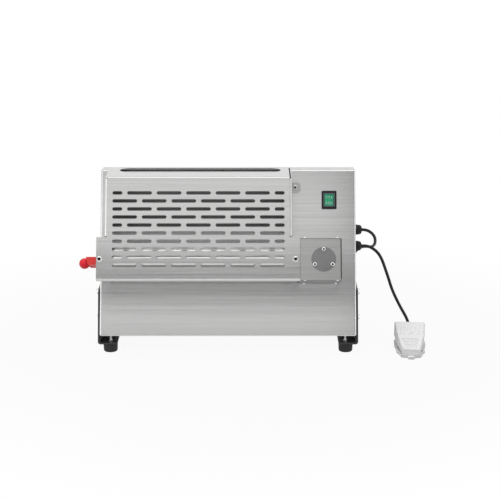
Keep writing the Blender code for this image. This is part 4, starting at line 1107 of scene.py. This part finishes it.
def smooth_route(points, step):
    """Even steps along a smooth curve through the points, in world metres."""
    places = [in_world(*mm(*point)) for point in points]
    ends = [2 * places[0] - places[1]] + places + [2 * places[-1] - places[-2]]
    fine = []
    for four in zip(ends, ends[1:], ends[2:], ends[3:]):
        knots = [0.0]
        for here, there in zip(four, four[1:]):
            knots.append(knots[-1] + (there - here).length ** 0.5)
        for i in range(FINE_STEPS):
            fine.append(blend_point(knots[1] + (knots[2] - knots[1]) * i / FINE_STEPS, knots, four))
    fine.append(places[-1])
    return even_steps(fine, step)


def even_steps(fine, step):
    """Points at even distances along a line of close points."""
    lengths = [0.0]
    for here, there in zip(fine, fine[1:]):
        lengths.append(lengths[-1] + (there - here).length)
    count = max(2, round(lengths[-1] / step))
    made = []
    index = 0
    for i in range(count + 1):
        wanted = lengths[-1] * i / count
        while index < len(lengths) - 2 and lengths[index + 1] < wanted:
            index += 1
        share = (wanted - lengths[index]) / (lengths[index + 1] - lengths[index])
        made.append(fine[index].lerp(fine[index + 1], min(1.0, share)))
    return made


def route_length(points):
    return sum((there - here).length for here, there in zip(points, points[1:]))


def coil_path(length):
    """The tied coil: in along the floor, up in half a turn, out on top, and a straight tail."""
    straight = 2 * CORD_RADIUS
    wound = length - straight - COIL_TAIL
    inward = (COIL_OUTER - math.sqrt(COIL_OUTER**2 - COIL_STEP * wound / (2 * math.pi))) / COIL_STEP
    total = 2 * inward * 2 * math.pi
    count = round(total * COIL_POINTS_PER_TURN / (2 * math.pi))
    points = []
    for i in range(count + 1):
        turned_by = total * i / count
        depth = min(turned_by, total - turned_by) / (2 * math.pi)
        climb = min(1.0, max(0.0, (turned_by - total / 2) / math.pi + 0.5))
        radius = COIL_OUTER - COIL_STEP * depth
        angle = -QUARTER - turned_by
        x = COIL_CENTRE[0] + radius * math.cos(angle)
        y = COIL_CENTRE[1] + radius * math.sin(angle)
        points.append(in_world(x, y, COIL_LOW + climb * climb * (3 - 2 * climb) * COIL_STEP))
    points.append(points[-1] + (points[-1] - points[-2]).normalized() * COIL_TAIL)
    return points


def pedal_flex():
    pedal = smooth_route(PEDAL_ROUTE, ROUTE_STEP)
    flex = round_piece("pedal_flex", pedal, CORD_RADIUS, "cord_black", replaced=["pedal_cord"])


def mains_flex():
    lead = smooth_route(MAINS_ROUTE, ROUTE_STEP)
    whole = lead + coil_path(MAINS_LENGTH - route_length(lead))
    replaced = ["mains_lead", "mains_coil"]
    mains = round_piece("mains_flex", whole, CORD_RADIUS, "cord_black", replaced=replaced)


# Studio
SWEEP_RADIUS, SWEEP_HEIGHT = 12.0, 4.0
SHADOW_REACH, WHITE_REACH = 0.45, 1.1
NEAR_WHITE = 0.93
AIR_STRENGTH = 0.12
CAMERA_PLACE, CAMERA_TILT, CAMERA_LENS = (-0.0128, -3.43455, 1.1004), math.radians(75.5), 110.52


def studio():
    """A pale floor that turns up into a wall far away."""
    radius, steps = SWEEP_RADIUS, 64
    shape = bmesh.new()
    loops = []
    for reach, height in ((radius - 2.0, 0.0), (radius - 0.6, 0.35), (radius, 1.2), (radius, SWEEP_HEIGHT)):
        ring = arc((0, 0), reach, 0, 2 * math.pi, steps)[:-1]
        loops.append([shape.verts.new((x, y, height)) for x, y in ring])
    shape.faces.new(loops[0])
    for low, high in zip(loops, loops[1:]):
        band(shape, low, high)
    sweep = add_object("studio_sweep", placed(shape, Matrix()))
    sweep.data.materials.append(sweep_material())


def sweep_material():
    """A grey floor that shows white where it is far, and almost white with its shadows where it is near."""
    made, shader = new_material("sweep_finish", (0.5, 0.5, 0.5), 0.9)
    nodes = made.node_tree.nodes
    path = nodes.new("ShaderNodeLightPath").outputs
    seen = combine(made, "MAXIMUM", path["Is Camera Ray"], path["Is Glossy Ray"])
    shown = combine(made, "MAXIMUM", seen, path["Is Transmission Ray"])
    place = nodes.new("ShaderNodeTexCoord")
    length = nodes.new("ShaderNodeVectorMath")
    length.operation = "LENGTH"
    link(made, place.outputs["Object"], length.inputs[0])
    far = nodes.new("ShaderNodeMapRange")
    far.interpolation_type = "SMOOTHSTEP"
    set_inputs(far, {"From Min": SHADOW_REACH, "From Max": WHITE_REACH, "To Min": NEAR_WHITE})
    link(made, length.outputs["Value"], far.inputs["Value"])
    glow = nodes.new("ShaderNodeEmission")
    mix = nodes.new("ShaderNodeMixShader")
    link(made, combine(made, "MULTIPLY", far.outputs["Result"], shown), mix.inputs["Fac"])
    link(made, shader.outputs["BSDF"], mix.inputs[1])
    link(made, glow.outputs["Emission"], mix.inputs[2])
    link(made, mix.outputs["Shader"], nodes["Material Output"].inputs["Surface"])
    return made


def softbox(name, place, aim, size, power):
    lamp = bpy.data.lights.new(name, "AREA")
    lamp.shape = "RECTANGLE"
    lamp.size, lamp.size_y = size
    lamp.energy = power
    made = add_object(name, lamp)
    made.location = place
    made.rotation_euler = (Vector(aim) - Vector(place)).to_track_quat("-Z", "Y").to_euler()
    made.visible_camera = False


def lights():
    """A wide light from above, low ones round the machine, and two panels that the leaning front mirrors."""
    world = bpy.data.worlds.new("studio_air")
    world.use_nodes = True
    set_inputs(world.node_tree.nodes["Background"], {"Color": (1, 1, 1, 1), "Strength": AIR_STRENGTH})
    bpy.context.scene.world = world
    softbox("top_softbox", (0, 0.2, 3.0), (0, 0.2, 0), (6.4, 5.2), 155)
    softbox("back_softbox", (0, 1.6, 0.95), (0, 0, 0.4), (2.4, 0.8), 1.9)
    softbox("left_softbox", (-1.7, -1.0, 0.9), (0, 0, 0.2), (0.8, 1.2), 6.2)
    softbox("right_softbox", (1.7, -0.8, 0.8), (0.2, 0, 0.2), (0.8, 1.2), 4.5)
    softbox("upper_panel", (-0.325, -0.72, 0.72), (-0.325, 0, 0.72), (1.25, 0.4), 1.31)
    softbox("lower_panel", (-0.32, -0.72, 0.35), (-0.32, 0, 0.35), (1.26, 0.07), 0.43)


def camera():
    """The photograph's viewpoint: far off in front, a little above, with a long lens."""
    data = bpy.data.cameras.new("camera")
    data.sensor_width = 36
    data.lens = CAMERA_LENS
    made = add_object("camera", data)
    made.location = CAMERA_PLACE
    made.rotation_euler = (CAMERA_TILT, 0, 0)
    bpy.context.scene.camera = made


finish_solids()
guard()
guard_tab()
painted_slot_backing()
corner_weld_and_shade()
guard_screws()
case_screws()
bracket_bolts()
knob()
rocker()
rocker_reflections()
switch_ring()
glands()
case_gap_shade()
edge_trims()
cover_screws()
louvres()
feet()
brackets()
foot_studs()
treadle_grips()
treadle_front()
pedal_lugs()
pedal_springs()
pedal_flex()
mains_flex()
studio()
lights()
camera()
bpy.context.scene.view_settings.view_transform = "Standard"
